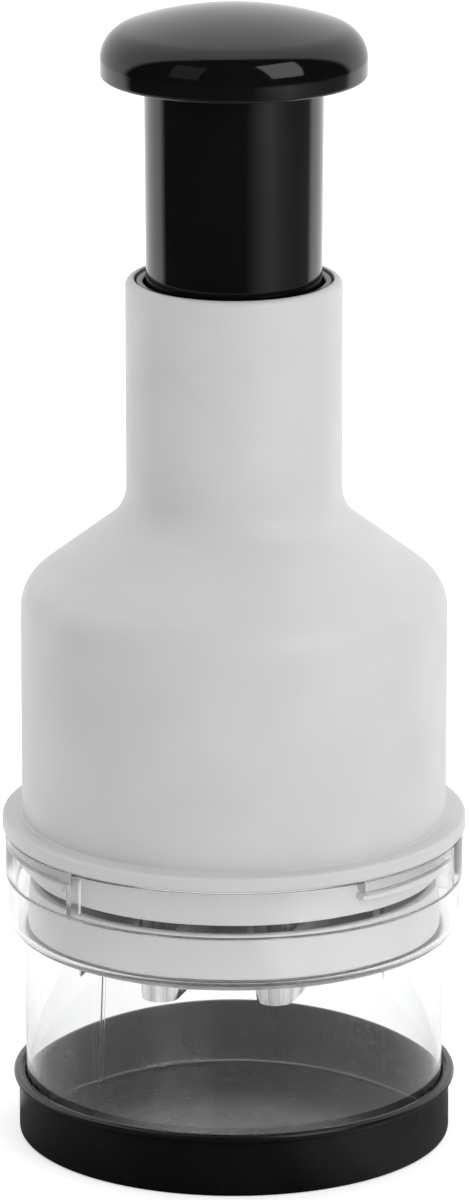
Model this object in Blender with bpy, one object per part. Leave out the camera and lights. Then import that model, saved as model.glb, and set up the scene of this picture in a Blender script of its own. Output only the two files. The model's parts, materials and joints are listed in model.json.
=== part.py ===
"""A push-down onion chopper, 235 mm tall, standing on its base cup with its axis on +Z.

The knob and plunger go down through the white housing against a spring. They carry a twisted
spindle through a fixed nut, so the zigzag blades turn a little on each stroke. The blades pass
through the slots of a scraper basket into the clear chamber. Heights are measured from the
surface that the cup stands on, and radii from the axis. The photographed side faces -Y.
"""

from math import atan2, cos, degrees, pi, radians, sin, sqrt, tan

import bmesh
import bpy
from mathutils import Matrix, Vector

MM = 0.001

# Fits
SEAT_GAP = 0.3 * MM
RUNNING_GAP = 0.3 * MM
SCREW_GAP = 0.3 * MM
OVERRUN = 1.0 * MM

# Base cup
CUP_RADIUS = 44.35 * MM
CUP_HEIGHT = 13.3 * MM
CUP_WALL = 1.15 * MM
CUP_FLOOR = 2.0 * MM
CUP_FOOT_FILLET = 0.8 * MM
CUP_LIP_REACH = 1.1 * MM
CUP_LIP_DEPTH = 1.9 * MM
CUP_LIP_ROUND = 0.9 * MM
CUP_MOUTH_CHAMFER = 0.75 * MM
CUP_INNER_FILLET = 0.35 * MM

# Clear chopping chamber
CHAMBER_WALL = 1.7 * MM
CHAMBER_WALL_HEIGHT = 41.4 * MM
LEDGE_THICKNESS = 1.4 * MM
LEDGE_ROUND = 3.4 * MM
LEDGE_INNER_ROUND = 1.8 * MM
COLLAR_HEIGHT = 21.2 * MM
COLLAR_OVERHANG = 4.0 * MM
COLLAR_STEP = 0.5 * MM
COLLAR_STEP_RISE = 11.3 * MM
COLLAR_STEP_SLOPE = 0.5 * MM
COLLAR_EDGE_ROUND = 0.5 * MM
CHAMBER_RIB_WIDTH = 0.8 * MM
CHAMBER_RIB_DEPTH = 0.5 * MM
CHAMBER_RIB_ANGLE = 132.6

# Bayonet between housing and collar
LUG_COUNT = 3
LUG_ANGLE = 35.0
LUG_MIDDLE_ANGLE = -67.5
LUG_THICKNESS = 2.0 * MM
LUG_DROP = 5.8 * MM
LUG_TAPER = 0.8 * MM
LUG_END_ROUND = 0.4 * MM
RAMP_THICKNESS = 2.4 * MM
RAMP_PLAY = 0.4 * MM
STOP_ANGLE = 1.6
STOP_PLAY_ANGLE = 3.6
STOP_DEPTH = 5.9 * MM

# Housing
LUG_SPACE = 2.8 * MM
SKIRT_DEPTH = 8.3 * MM
FLANGE_OVERHANG = 0.55 * MM
FLANGE_THICKNESS = 3.1 * MM
FLANGE_ROUND = 0.7 * MM
BODY_STEP = 1.0 * MM
HOUSING_WALL = 2.0 * MM
SHOULDER_SLOPE = 37.3
BRIDGE_HEADROOM = 16.1 * MM
SHOULDER_ROUND = 9.1 * MM
NECK_FILLET = 9.6 * MM
NECK_LENGTH = 47.7 * MM
NECK_MOUTH_WALL = 1.8 * MM
BUSH_LEDGE = 1.0 * MM
NECK_LIP_ROUND = 1.4 * MM
NECK_MOUTH_ROUND = 0.3 * MM
SMALL_ROUND = 0.4 * MM

# Guide bush in the neck
BUSH_WALL = 1.45 * MM
BUSH_LENGTH = 17.6 * MM
BUSH_RECESS = 0.4 * MM
BUSH_CHAMFER = 0.3 * MM

# Plunger tube and knob
PLUNGER_TAPER = 0.6 * MM
PLUNGER_WALL = 1.5 * MM
PLUNGER_END_PLAY = 0.8 * MM
WEB_THICKNESS = 3.0 * MM
WEB_DEPTH = 6.3 * MM
KEY_COUNT = 3
KEY_START_ANGLE = 30.0
KEY_WIDTH = 2.4 * MM
KEY_DEPTH = 1.1 * MM
KEY_HEIGHT = 9.0 * MM
KNOB_OVERHANG = 8.8 * MM
KNOB_HEIGHT = 13.95 * MM
KNOB_SPACE = 5.15 * MM
KNOB_CROWN_RADIUS = 68.3 * MM
KNOB_CORNER_RADIUS = 7.0 * MM
KNOB_WALL = 2.2 * MM
KNOB_RIM_ROUND = 0.9 * MM
KNOB_RIB_COUNT = 6
KNOB_RIB_ANGLE = 2.6
KNOB_RIB_RECESS = 2.5 * MM
SOCKET_WALL = 1.8 * MM
SOCKET_RECESS = 0.8 * MM

# Scraper basket
BASKET_SPACE = 2.4 * MM
BASKET_WALL = 1.5 * MM
BASKET_HEADROOM = 1.9 * MM
BASKET_FLOOR = 1.8 * MM
TONGUE_WALL = 1.3 * MM
TONGUE_WALL_HEIGHT = 7.0 * MM
TONGUE_WALL_SETBACK = 0.15 * MM

# Blades
BLADE_THICKNESS = 0.6 * MM
BLADE_SHOW = 6.9 * MM
BLADE_SPACE = 2.8 * MM
BLADE_BEVEL = 1.8 * MM
BLADE_EDGE = 0.12 * MM
BLADE_TIP_GAP = 0.4 * MM
LEG_SLANT = 17.0
OUTER_BEND_RADIUS = 3.6 * MM
OUTER_BEND_SHARES = (-0.384, 0.217)
BLADE_START_SHARE = -0.813
BLADE_END_SHARE = 0.787
BLADE_END_SETBACK = 2.0 * MM
BEND_TO_MIDDLE = 1.6 * MM

# Blade carrier
CARRIER_THICKNESS = 4.6 * MM
CARRIER_RIM = 0.8 * MM
CARRIER_PLAY = 0.6 * MM
BLADE_SOCKET_DEPTH = 3.0 * MM
HUB_HEIGHT = 4.0 * MM

# Guide column and spring
BRIDGE_PLAY = 1.6 * MM
BRIDGE_THICKNESS = 4.2 * MM
COLUMN_HEIGHT = 50.0 * MM
COLUMN_WALL = 2.55 * MM
COLUMN_BORE_PLAY = 0.8 * MM
COLUMN_TOP_THICKNESS = 4.0 * MM
BOSS_COUNT = 3
BOSS_START_ANGLE = 90.0
BOSS_TO_WALL = 5.8 * MM
BOSS_RADIUS = 3.6 * MM
BOSS_WEB = 3.0 * MM
SPRING_WIRE = 1.5 * MM
SPRING_CURLS = 9
SPRING_END_CURLS = 1
SPRING_END_PITCH = 2.1 * MM
SPRING_PLAY = 1.4 * MM
STROKE_TURN = 36.0

# Spindle, nut and swivel
SPINDLE_SIDE = 8.0 * MM
SPINDLE_FLANGE = 2.5 * MM
SPINDLE_SCREW_COUNT = 3
SPINDLE_SCREW_START_ANGLE = 30.0
SPINDLE_SCREW_SPACE = 0.67 * MM
SPIGOT_WALL = 1.6 * MM
NUT_SIDES = 6
NUT_WALL = 2.74 * MM
NUT_FLANGE_REACH = 2.4 * MM
NUT_FLANGE = 2.2 * MM
WASHER_REACH = 2.2 * MM
WASHER_THICKNESS = 1.0 * MM

# Screws
SCREW_RADIUS = 1.3 * MM
SCREW_HEAD_RADIUS = 2.5 * MM
SCREW_HEAD = 1.9 * MM
SCREW_RECESS = 1.0 * MM
SPINDLE_SCREW_LENGTH = 6.0 * MM
SWIVEL_SCREW_LENGTH = 9.0 * MM
KNOB_SCREW_LENGTH = 11.0 * MM
KNOB_BOSS_RADIUS = 3.0 * MM
KNOB_BOSS_SPACE = 0.6 * MM
BRIDGE_SCREW_LENGTH = 11.0 * MM
SCREW_TIP_SPACE = 1.0 * MM

# Facets
OUTER_STEPS = 48
TUBE_STEPS = 36
SMALL_STEPS = 16
SCREW_STEPS = 10
ROUND_STEPS = 2
WIDE_ROUND_STEPS = 3
LONG_ROUND_STEPS = 5
RAMP_STEPS = 5
BEND_STEPS = 5
SPRING_STEPS = 10
SMOOTH_ANGLE = 30.0
MERGE_DISTANCE = 0.0001 * MM
LEAST_MITRE = 0.5

# Radii that follow, from the cup outwards and from the spindle outwards
CUP_BORE = CUP_RADIUS - CUP_WALL
CHAMBER_RADIUS = CUP_BORE - RUNNING_GAP
CHAMBER_BORE = CHAMBER_RADIUS - CHAMBER_WALL
COLLAR_RADIUS = CHAMBER_RADIUS + COLLAR_OVERHANG
COLLAR_BORE = COLLAR_RADIUS - CHAMBER_WALL
SKIRT_RADIUS = COLLAR_BORE - LUG_SPACE
SKIRT_BORE = SKIRT_RADIUS - HOUSING_WALL
FLANGE_RADIUS = COLLAR_RADIUS + FLANGE_OVERHANG
BODY_RADIUS = SKIRT_RADIUS + BODY_STEP
BODY_BORE = BODY_RADIUS - HOUSING_WALL
BRIDGE_RADIUS = BODY_BORE - BRIDGE_PLAY
BOSS_PLACE = BODY_BORE - BOSS_TO_WALL
BASKET_RADIUS = COLLAR_BORE - COLLAR_STEP - BASKET_SPACE
BASKET_BORE = BASKET_RADIUS - BASKET_WALL
BLADE_RADIUS = BASKET_BORE - BLADE_SPACE
SPINDLE_CORNER = SPINDLE_SIDE / sqrt(2)
NUT_BODY_RADIUS = SPINDLE_CORNER + NUT_WALL
NUT_FLANGE_RADIUS = NUT_BODY_RADIUS + NUT_FLANGE_REACH
SPIGOT_RADIUS = SCREW_RADIUS + SCREW_GAP + SPIGOT_WALL
WASHER_RADIUS = SPIGOT_RADIUS + WASHER_REACH
KNOB_BOSS_PLACE = WASHER_RADIUS + KNOB_BOSS_RADIUS + KNOB_BOSS_SPACE
SPINDLE_SCREW_PLACE = SPINDLE_CORNER + SPINDLE_SCREW_SPACE + SCREW_HEAD_RADIUS
HUB_RADIUS = SPINDLE_SCREW_PLACE + SCREW_HEAD_RADIUS + SPINDLE_SCREW_SPACE
COLUMN_BORE = HUB_RADIUS + COLUMN_BORE_PLAY
COLUMN_RADIUS = COLUMN_BORE + COLUMN_WALL
PLUNGER_BORE = COLUMN_RADIUS + RUNNING_GAP + RUNNING_GAP
PLUNGER_RADIUS = PLUNGER_BORE + PLUNGER_WALL + PLUNGER_TAPER
SPRING_RADIUS = PLUNGER_BORE - SPRING_PLAY - SPRING_WIRE / 2
KNOB_RADIUS = PLUNGER_RADIUS + KNOB_OVERHANG
BUSH_BORE = PLUNGER_RADIUS + RUNNING_GAP
NECK_MOUTH = BUSH_BORE + BUSH_WALL + SEAT_GAP
NECK_RADIUS = NECK_MOUTH + NECK_MOUTH_WALL
NECK_BORE = NECK_MOUTH - BUSH_LEDGE

# Heights that follow, from the cup's floor upwards
CHAMBER_FOOT = CUP_FLOOR + SEAT_GAP
LEDGE_LOW = CHAMBER_FOOT + CHAMBER_WALL_HEIGHT
LEDGE_TOP = LEDGE_LOW + LEDGE_THICKNESS
COLLAR_TOP = LEDGE_LOW + COLLAR_HEIGHT
FLANGE_LOW = COLLAR_TOP + SEAT_GAP
FLANGE_TOP = FLANGE_LOW + FLANGE_THICKNESS
SKIRT_LOW = FLANGE_LOW - SKIRT_DEPTH
LUG_TOP = FLANGE_LOW - LUG_DROP + LUG_THICKNESS
BASKET_LOW = LEDGE_TOP + SEAT_GAP
BASKET_TOP = SKIRT_LOW - BASKET_HEADROOM
TONGUE_WALL_TOP = BASKET_LOW + BASKET_FLOOR + TONGUE_WALL_HEIGHT
BLADE_LOW = BASKET_LOW - BLADE_SHOW
STROKE = BLADE_LOW - CUP_FLOOR - BLADE_TIP_GAP
SLOT_WIDTH = BLADE_THICKNESS + RUNNING_GAP + RUNNING_GAP
CARRIER_LOW = TONGUE_WALL_TOP + CARRIER_PLAY + STROKE
CARRIER_TOP = CARRIER_LOW + CARRIER_THICKNESS
BLADE_TOP = CARRIER_LOW + BLADE_SOCKET_DEPTH - SEAT_GAP
HUB_TOP = CARRIER_TOP + HUB_HEIGHT
BRIDGE_LOW = CARRIER_TOP + SEAT_GAP
BRIDGE_TOP = BRIDGE_LOW + BRIDGE_THICKNESS
BRIDGE_SCREW_SEAT = BRIDGE_LOW + SCREW_HEAD + SEAT_GAP
COLUMN_TOP = BRIDGE_TOP + COLUMN_HEIGHT
PLUNGER_LOW = BRIDGE_TOP + PLUNGER_END_PLAY + STROKE
SHOULDER_LOW = BRIDGE_TOP + BRIDGE_HEADROOM
SHOULDER_TOP = SHOULDER_LOW + (BODY_RADIUS - NECK_RADIUS) * tan(radians(SHOULDER_SLOPE))
NECK_TOP = SHOULDER_TOP + NECK_LENGTH
BUSH_TOP = NECK_TOP - BUSH_RECESS
BUSH_LOW = BUSH_TOP - BUSH_LENGTH
BUSH_SEAT = BUSH_LOW - SEAT_GAP
KNOB_LOW = NECK_TOP + STROKE + KNOB_SPACE
KNOB_TOP = KNOB_LOW + KNOB_HEIGHT
KNOB_CROWN_CENTRE = KNOB_TOP - KNOB_CROWN_RADIUS
WEB_TOP = KNOB_LOW - WEB_DEPTH
WEB_LOW = WEB_TOP - WEB_THICKNESS
SPINDLE_SEAT = HUB_TOP + SEAT_GAP
SPINDLE_TOP = WEB_LOW - SEAT_GAP
SPINDLE_FLANGE_TOP = SPINDLE_SEAT + SPINDLE_FLANGE
SPIGOT_TOP = WEB_TOP + RUNNING_GAP
WASHER_LOW = SPIGOT_TOP + SEAT_GAP
TWIST_PER_METRE = STROKE_TURN / STROKE
SPRING_LOW = COLUMN_TOP + SEAT_GAP
SPRING_TOP = WEB_LOW - SEAT_GAP


def clear_scene():
    for obj in list(bpy.data.objects):
        bpy.data.objects.remove(obj)


def plastic(name, colour, roughness, transmission=0.0):
    return material(name, colour, roughness, 0.0, transmission)


def material(name, colour, roughness, metallic, transmission=0.0):
    made = bpy.data.materials.new(name)
    made.use_nodes = True
    shader = made.node_tree.nodes["Principled BSDF"]
    shader.inputs["Base Color"].default_value = (*colour, 1.0)
    shader.inputs["Roughness"].default_value = roughness
    shader.inputs["Metallic"].default_value = metallic
    shader.inputs["Transmission Weight"].default_value = transmission
    made.diffuse_color = (*colour, 1.0 - transmission / 2)
    return made


def joint_frame(name, parent=None):
    """An empty on the axis, which the pieces of one body hang from."""
    frame = bpy.data.objects.new(name, None)
    frame.parent = parent
    bpy.context.scene.collection.objects.link(frame)
    return frame


def object_of(name, shape, finish=None, parent=None):
    bmesh.ops.remove_doubles(shape, verts=shape.verts, dist=MERGE_DISTANCE)
    bmesh.ops.recalc_face_normals(shape, faces=shape.faces)
    mesh = bpy.data.meshes.new(name)
    shape.to_mesh(mesh)
    shape.free()
    mesh.shade_smooth()
    mesh.set_sharp_from_angle(angle=radians(SMOOTH_ANGLE))
    obj = bpy.data.objects.new(name, mesh)
    obj.parent = parent
    bpy.context.scene.collection.objects.link(obj)
    if finish:
        mesh.materials.append(finish)
    else:
        obj.hide_render = True
        obj.display_type = "WIRE"
    return obj


def boolean(obj, tool, operation):
    step = obj.modifiers.new(f"{operation.lower()}_{tool.name}", "BOOLEAN")
    step.operation = operation
    step.solver = "EXACT"
    step.object = tool
    tool.parent = obj.parent


def join(obj, tool):
    boolean(obj, tool, "UNION")


def cut(obj, tool):
    boolean(obj, tool, "DIFFERENCE")


def arc(centre_r, centre_z, radius, start, end, steps):
    """Points (r, z) along an arc, its angles in degrees from the outward direction."""
    turns = [radians(start + (end - start) * i / steps) for i in range(steps + 1)]
    return [(centre_r + radius * cos(t), centre_z + radius * sin(t)) for t in turns]


def fillet(before, corner, after, radius, steps):
    """The points of a round of this radius in place of a corner."""
    to_before = (Vector(before) - Vector(corner)).normalized()
    to_after = (Vector(after) - Vector(corner)).normalized()
    half = to_before.angle(to_after) / 2
    start = Vector(corner) + to_before * radius / tan(half)
    centre = Vector(corner) + (to_before + to_after).normalized() * radius / sin(half)
    sweep = pi - 2 * half
    side = 1 if to_before.cross(to_after) < 0 else -1
    arm = start - centre
    return [tuple(centre + Matrix.Rotation(side * sweep * i / steps, 2) @ arm) for i in range(steps + 1)]


def round_steps(radius):
    """A small round is one chamfer, and a long one has more steps."""
    if radius <= SMALL_ROUND:
        return 1
    if radius >= SHOULDER_ROUND:
        return LONG_ROUND_STEPS
    return WIDE_ROUND_STEPS if radius >= LEDGE_ROUND else ROUND_STEPS


def outline(corners):
    """A closed outline from (r, z, round radius) corners."""
    points = []
    for i, (r, z, radius) in enumerate(corners):
        before = corners[i - 1][:2]
        after = corners[(i + 1) % len(corners)][:2]
        if radius:
            points += fillet(before, (r, z), after, radius, round_steps(radius))
        else:
            points.append((r, z))
    return points


def turned(name, points, steps, finish=None, parent=None, sweep=360.0, start=0.0):
    """A closed outline of (r, z) points turned about the axis, all round or over one sector."""
    shape = bmesh.new()
    rim = [shape.verts.new((r, 0, z)) for r, z in points]
    face = shape.faces.new(rim)
    whole = sweep == 360.0
    bmesh.ops.rotate(shape, verts=rim, cent=(0, 0, 0), matrix=Matrix.Rotation(radians(start - 90), 3, "Z"))
    bmesh.ops.spin(
        shape,
        geom=list(face.edges) if whole else [face],
        cent=(0, 0, 0),
        axis=(0, 0, 1),
        angle=radians(sweep),
        steps=steps,
        use_merge=whole,
    )
    if whole:
        shape.faces.remove(face)
        bmesh.ops.remove_doubles(shape, verts=shape.verts, dist=MERGE_DISTANCE)
        on_axis = [edge for edge in shape.edges if edge.is_wire]
        bmesh.ops.delete(shape, geom=on_axis, context="EDGES")
    return object_of(name, shape, finish, parent)


def round_bar(name, radius, low, high, place=(0, 0), steps=SMALL_STEPS):
    shape = bmesh.new()
    bmesh.ops.create_cone(
        shape, cap_ends=True, segments=steps, radius1=radius, radius2=radius, depth=high - low
    )
    bmesh.ops.translate(shape, verts=shape.verts, vec=(place[0], place[1], (low + high) / 2))
    return object_of(name, shape)


def block(name, low, high, turn=0.0):
    """A box between two corners, turned about the axis."""
    shape = bmesh.new()
    bmesh.ops.create_cube(shape, size=1.0)
    middle = (Vector(low) + Vector(high)) / 2
    bmesh.ops.scale(shape, verts=shape.verts, vec=Vector(high) - Vector(low))
    bmesh.ops.translate(shape, verts=shape.verts, vec=middle)
    bmesh.ops.rotate(shape, verts=shape.verts, cent=(0, 0, 0), matrix=Matrix.Rotation(radians(turn), 3, "Z"))
    return object_of(name, shape)


def join_rings(shape, rings):
    """Faces between each ring of points and the next, and across the first and last."""
    for near, far in zip(rings, rings[1:]):
        for k in range(len(near)):
            shape.faces.new((near[k - 1], near[k], far[k], far[k - 1]))
    shape.faces.new(rings[0])
    shape.faces.new(rings[-1][::-1])


def arc_block(name, inner, outer, stations):
    """A block along an arc, from stations of (angle in degrees from the front, low, high)."""
    shape = bmesh.new()
    rings = []
    for angle, low, high in stations:
        corners = [(inner, low), (outer, low), (outer, high), (inner, high)]
        rings.append([shape.verts.new((*around(r, angle - 90), z)) for r, z in corners])
    join_rings(shape, rings)
    return object_of(name, shape)


def around(radius, angle):
    """A place on a circle, its angle in degrees from +X."""
    return radius * cos(radians(angle)), radius * sin(radians(angle))


def screw(name, length, finish, parent, place, seat, upward=False):
    """A pan-head screw whose head sits on a seat height, its shank pointing down or up."""
    points = outline(
        [
            (0, -length, 0),
            (SCREW_RADIUS, -length + SCREW_RADIUS, 0),
            (SCREW_RADIUS, 0, 0),
            (SCREW_HEAD_RADIUS, 0, 0),
            (SCREW_HEAD_RADIUS, SCREW_HEAD, SMALL_ROUND),
            (SCREW_RADIUS, SCREW_HEAD, 0),
            (0, SCREW_HEAD - SCREW_RECESS, 0),
        ]
    )
    made = turned(name, points, SCREW_STEPS, finish, parent)
    made.location = (place[0], place[1], seat)
    if upward:
        made.rotation_euler = (pi, 0, 0)
    return made


def make_base_cup(finish, parent):
    lip_radius = CUP_RADIUS + CUP_LIP_REACH
    lip_low = CUP_HEIGHT - CUP_LIP_DEPTH
    points = outline(
        [
            (0, 0, 0),
            (CUP_RADIUS, 0, CUP_FOOT_FILLET),
            (CUP_RADIUS, lip_low, 0),
            (lip_radius, lip_low, CUP_LIP_ROUND),
            (lip_radius, CUP_HEIGHT, CUP_LIP_ROUND),
            (CUP_BORE + CUP_MOUTH_CHAMFER, CUP_HEIGHT, 0),
            (CUP_BORE, CUP_HEIGHT - CUP_MOUTH_CHAMFER, 0),
            (CUP_BORE, CUP_FLOOR, CUP_INNER_FILLET),
            (0, CUP_FLOOR, 0),
        ]
    )
    return turned("base_cup", points, OUTER_STEPS, finish, parent)


def make_chamber(finish, parent):
    waist = COLLAR_RADIUS - COLLAR_STEP
    step_low = LEDGE_LOW + COLLAR_STEP_RISE
    step_top = step_low + COLLAR_STEP_SLOPE
    points = outline(
        [
            (CHAMBER_RADIUS, CHAMBER_FOOT, SMALL_ROUND),
            (CHAMBER_RADIUS, LEDGE_LOW, SMALL_ROUND),
            (waist, LEDGE_LOW, LEDGE_ROUND),
            (waist, step_low, 0),
            (COLLAR_RADIUS, step_top, 0),
            (COLLAR_RADIUS, COLLAR_TOP, COLLAR_EDGE_ROUND),
            (COLLAR_BORE, COLLAR_TOP, 0),
            (COLLAR_BORE, step_top, 0),
            (COLLAR_BORE - COLLAR_STEP, step_low, 0),
            (COLLAR_BORE - COLLAR_STEP, LEDGE_TOP, LEDGE_INNER_ROUND),
            (CHAMBER_BORE, LEDGE_TOP, 0),
            (CHAMBER_BORE, CHAMBER_FOOT, 0),
        ]
    )
    chamber = turned("chopping_chamber", points, OUTER_STEPS, finish, parent)
    for ramp in make_ramps():
        join(chamber, ramp)
    rib = block(
        "chamber_rib",
        (CHAMBER_BORE - CHAMBER_RIB_DEPTH, -CHAMBER_RIB_WIDTH / 2, CHAMBER_FOOT + SMALL_ROUND),
        (CHAMBER_BORE + CHAMBER_WALL / 2, CHAMBER_RIB_WIDTH / 2, LEDGE_LOW),
        CHAMBER_RIB_ANGLE,
    )
    join(chamber, rib)
    return chamber


def make_ramps():
    """The collar's ramps that hold the housing's lugs down, each with the stop at its end."""
    inner = SKIRT_RADIUS + RUNNING_GAP
    outer = COLLAR_BORE + CHAMBER_WALL / 2
    low = LUG_TOP + RAMP_PLAY
    for i in range(LUG_COUNT):
        first = LUG_MIDDLE_ANGLE - LUG_ANGLE / 2 + i * 360 / LUG_COUNT
        last = first + LUG_ANGLE + STOP_PLAY_ANGLE
        stations = wedge(first, last, low, low, low + RAMP_THICKNESS)
        yield arc_block(f"collar_ramp_{i + 1}", inner, outer, stations)
        ends = (last - STOP_ANGLE / 2, last + STOP_ANGLE / 2)
        stations = [(angle, LUG_TOP - STOP_DEPTH, COLLAR_TOP - COLLAR_EDGE_ROUND) for angle in ends]
        yield arc_block(f"collar_stop_{i + 1}", inner, outer, stations)


def wedge(first, last, first_low, last_low, high):
    """Stations of a ridge between two angles, with its ends taken off and a sloping underside."""
    end = degrees(LUG_END_ROUND / SKIRT_RADIUS)
    stations = [(first, first_low + LUG_END_ROUND, high - LUG_END_ROUND)]
    for i in range(RAMP_STEPS + 1):
        share = i / RAMP_STEPS
        angle = first + end + (last - first - 2 * end) * share
        stations.append((angle, first_low + (last_low - first_low) * share, high))
    stations.append((last, last_low + LUG_END_ROUND, high - LUG_END_ROUND))
    return stations


def shoulder_height(radius, inset=0.0):
    """The height of the shoulder's cone, or of a surface this far inside it."""
    slope = radians(SHOULDER_SLOPE)
    return SHOULDER_TOP - (radius - NECK_RADIUS) * tan(slope) - inset / cos(slope)


def make_housing(finish, parent):
    points = outline(
        [
            (SKIRT_RADIUS, SKIRT_LOW, SMALL_ROUND),
            (SKIRT_RADIUS, FLANGE_LOW, 0),
            (FLANGE_RADIUS, FLANGE_LOW, FLANGE_ROUND),
            (FLANGE_RADIUS, FLANGE_TOP, FLANGE_ROUND),
            (BODY_RADIUS, FLANGE_TOP, SMALL_ROUND),
            (BODY_RADIUS, shoulder_height(BODY_RADIUS), SHOULDER_ROUND),
            (NECK_RADIUS, SHOULDER_TOP, NECK_FILLET),
            (NECK_RADIUS, NECK_TOP, NECK_LIP_ROUND),
            (NECK_MOUTH, NECK_TOP, NECK_MOUTH_ROUND),
            (NECK_MOUTH, BUSH_SEAT, 0),
            (NECK_BORE, BUSH_SEAT, 0),
            (NECK_BORE, shoulder_height(NECK_BORE, HOUSING_WALL), NECK_FILLET - HOUSING_WALL),
            (BODY_BORE, shoulder_height(BODY_BORE, HOUSING_WALL), SHOULDER_ROUND - HOUSING_WALL),
            (BODY_BORE, FLANGE_TOP, 0),
            (SKIRT_BORE, FLANGE_LOW, 0),
            (SKIRT_BORE, SKIRT_LOW, SMALL_ROUND),
        ]
    )
    housing = turned("housing_shell", points, OUTER_STEPS, finish, parent)
    for i in range(LUG_COUNT):
        join(housing, make_lug(i))
    for i, angle in enumerate(boss_angles()):
        add_boss(housing, i + 1, angle)
    return housing


def make_lug(i):
    """A lug with a level top that bears on the ramp, thicker towards the stop."""
    first = LUG_MIDDLE_ANGLE - LUG_ANGLE / 2 + i * 360 / LUG_COUNT
    inner = SKIRT_RADIUS - HOUSING_WALL / 2
    outer = COLLAR_BORE - RUNNING_GAP - RUNNING_GAP
    low = LUG_TOP - LUG_THICKNESS
    stations = wedge(first, first + LUG_ANGLE, low + LUG_TAPER, low, LUG_TOP)
    return arc_block(f"housing_lug_{i + 1}", inner, outer, stations)


def boss_angles():
    return [BOSS_START_ANGLE + i * 360 / BOSS_COUNT for i in range(BOSS_COUNT)]


def add_boss(housing, number, angle):
    """A screw boss under the shoulder, tied to the body wall by a web."""
    low = BRIDGE_TOP + SEAT_GAP
    high = shoulder_height(BOSS_PLACE + BOSS_RADIUS, HOUSING_WALL / 2)
    place = around(BOSS_PLACE, angle)
    web_high = shoulder_height(BODY_BORE, HOUSING_WALL / 2) - SHOULDER_ROUND
    web = block(
        f"boss_web_{number}",
        (BOSS_PLACE, -BOSS_WEB / 2, low),
        (BODY_BORE + HOUSING_WALL / 2, BOSS_WEB / 2, web_high),
        angle,
    )
    join(housing, web)
    join(housing, round_bar(f"boss_{number}", BOSS_RADIUS, low, high, place))
    hole_top = BRIDGE_SCREW_SEAT + BRIDGE_SCREW_LENGTH + SCREW_TIP_SPACE
    cut(housing, round_bar(f"boss_hole_{number}", SCREW_RADIUS + SCREW_GAP, low - OVERRUN, hole_top, place))


def make_bush(finish, parent):
    points = outline(
        [
            (NECK_MOUTH - SEAT_GAP, BUSH_LOW, 0),
            (NECK_MOUTH - SEAT_GAP, BUSH_TOP, SMALL_ROUND),
            (BUSH_BORE + BUSH_CHAMFER, BUSH_TOP, 0),
            (BUSH_BORE, BUSH_TOP - BUSH_CHAMFER, 0),
            (BUSH_BORE, BUSH_LOW, 0),
        ]
    )
    return turned("neck_bush", points, TUBE_STEPS, finish, parent)


def knob_under(radius):
    """The height of the knob's underside at a radius."""
    inner = KNOB_CROWN_RADIUS - KNOB_WALL
    return KNOB_CROWN_CENTRE + sqrt(inner * inner - radius * radius)


def crown(inset, lowest, steps):
    """The knob's crown and corner, from the axis down to a height, this far inside its skin."""
    big = KNOB_CROWN_RADIUS - inset
    small = KNOB_CORNER_RADIUS - inset
    across = KNOB_RADIUS - KNOB_CORNER_RADIUS
    between = KNOB_CROWN_RADIUS - KNOB_CORNER_RADIUS
    up = sqrt(between * between - across * across)
    turn = degrees(atan2(up, across))
    points = arc(0, KNOB_CROWN_CENTRE, big, 90, turn, steps)
    points += arc(across, KNOB_CROWN_CENTRE + up, small, turn, 0, steps)[1:]
    return [(0, KNOB_CROWN_CENTRE + big)] + points[1:] + [(across + small, lowest)]


def make_knob(finish, parent):
    socket_in = PLUNGER_RADIUS + SEAT_GAP
    socket_out = socket_in + SOCKET_WALL
    outside = crown(0, KNOB_LOW + KNOB_RIM_ROUND, LONG_ROUND_STEPS)
    rim = arc(KNOB_RADIUS - KNOB_RIM_ROUND, KNOB_LOW + KNOB_RIM_ROUND, KNOB_RIM_ROUND, 0, -90, ROUND_STEPS)
    inside = crown(KNOB_WALL, KNOB_LOW, ROUND_STEPS)
    inside = [point for point in inside if point[0] > socket_out]
    socket_low = KNOB_LOW + SOCKET_RECESS
    socket = [
        (socket_out, knob_under(socket_out)),
        (socket_out, socket_low),
        (socket_in, socket_low),
        (socket_in, knob_under(socket_in)),
        (0, knob_under(0)),
    ]
    points = outside + rim[1:] + inside[::-1] + socket
    knob = turned("knob", points, TUBE_STEPS, finish, parent)
    low = WEB_TOP + SEAT_GAP
    for side in (-1, 1):
        place = (side * KNOB_BOSS_PLACE, 0)
        high = knob_under(KNOB_BOSS_PLACE) + KNOB_WALL / 2
        name = "left" if side < 0 else "right"
        join(knob, round_bar(f"knob_boss_{name}", KNOB_BOSS_RADIUS, low, high, place))
        hole_top = WEB_LOW + KNOB_SCREW_LENGTH + SCREW_TIP_SPACE
        hole = round_bar(f"knob_hole_{name}", SCREW_RADIUS + SCREW_GAP, low - OVERRUN, hole_top, place)
        cut(knob, hole)
    for rib in make_knob_ribs():
        join(knob, rib)
    return knob


def make_knob_ribs():
    """Thin ribs under the crown, from the socket out to the knob's skin."""
    inner = PLUNGER_RADIUS + SEAT_GAP + SOCKET_WALL / 2
    low = KNOB_LOW + KNOB_RIB_RECESS
    middle = KNOB_CROWN_RADIUS - KNOB_WALL / 2
    top = KNOB_CROWN_CENTRE + sqrt(middle * middle - inner * inner)
    skin = [point for point in crown(KNOB_WALL / 2, low, ROUND_STEPS) if point[0] > inner]
    points = [(inner, low), (inner, top)] + skin
    for i in range(KNOB_RIB_COUNT):
        start = i * 360 / KNOB_RIB_COUNT - KNOB_RIB_ANGLE / 2
        yield turned(f"knob_rib_{i + 1}", points, 1, sweep=KNOB_RIB_ANGLE, start=start)


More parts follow.
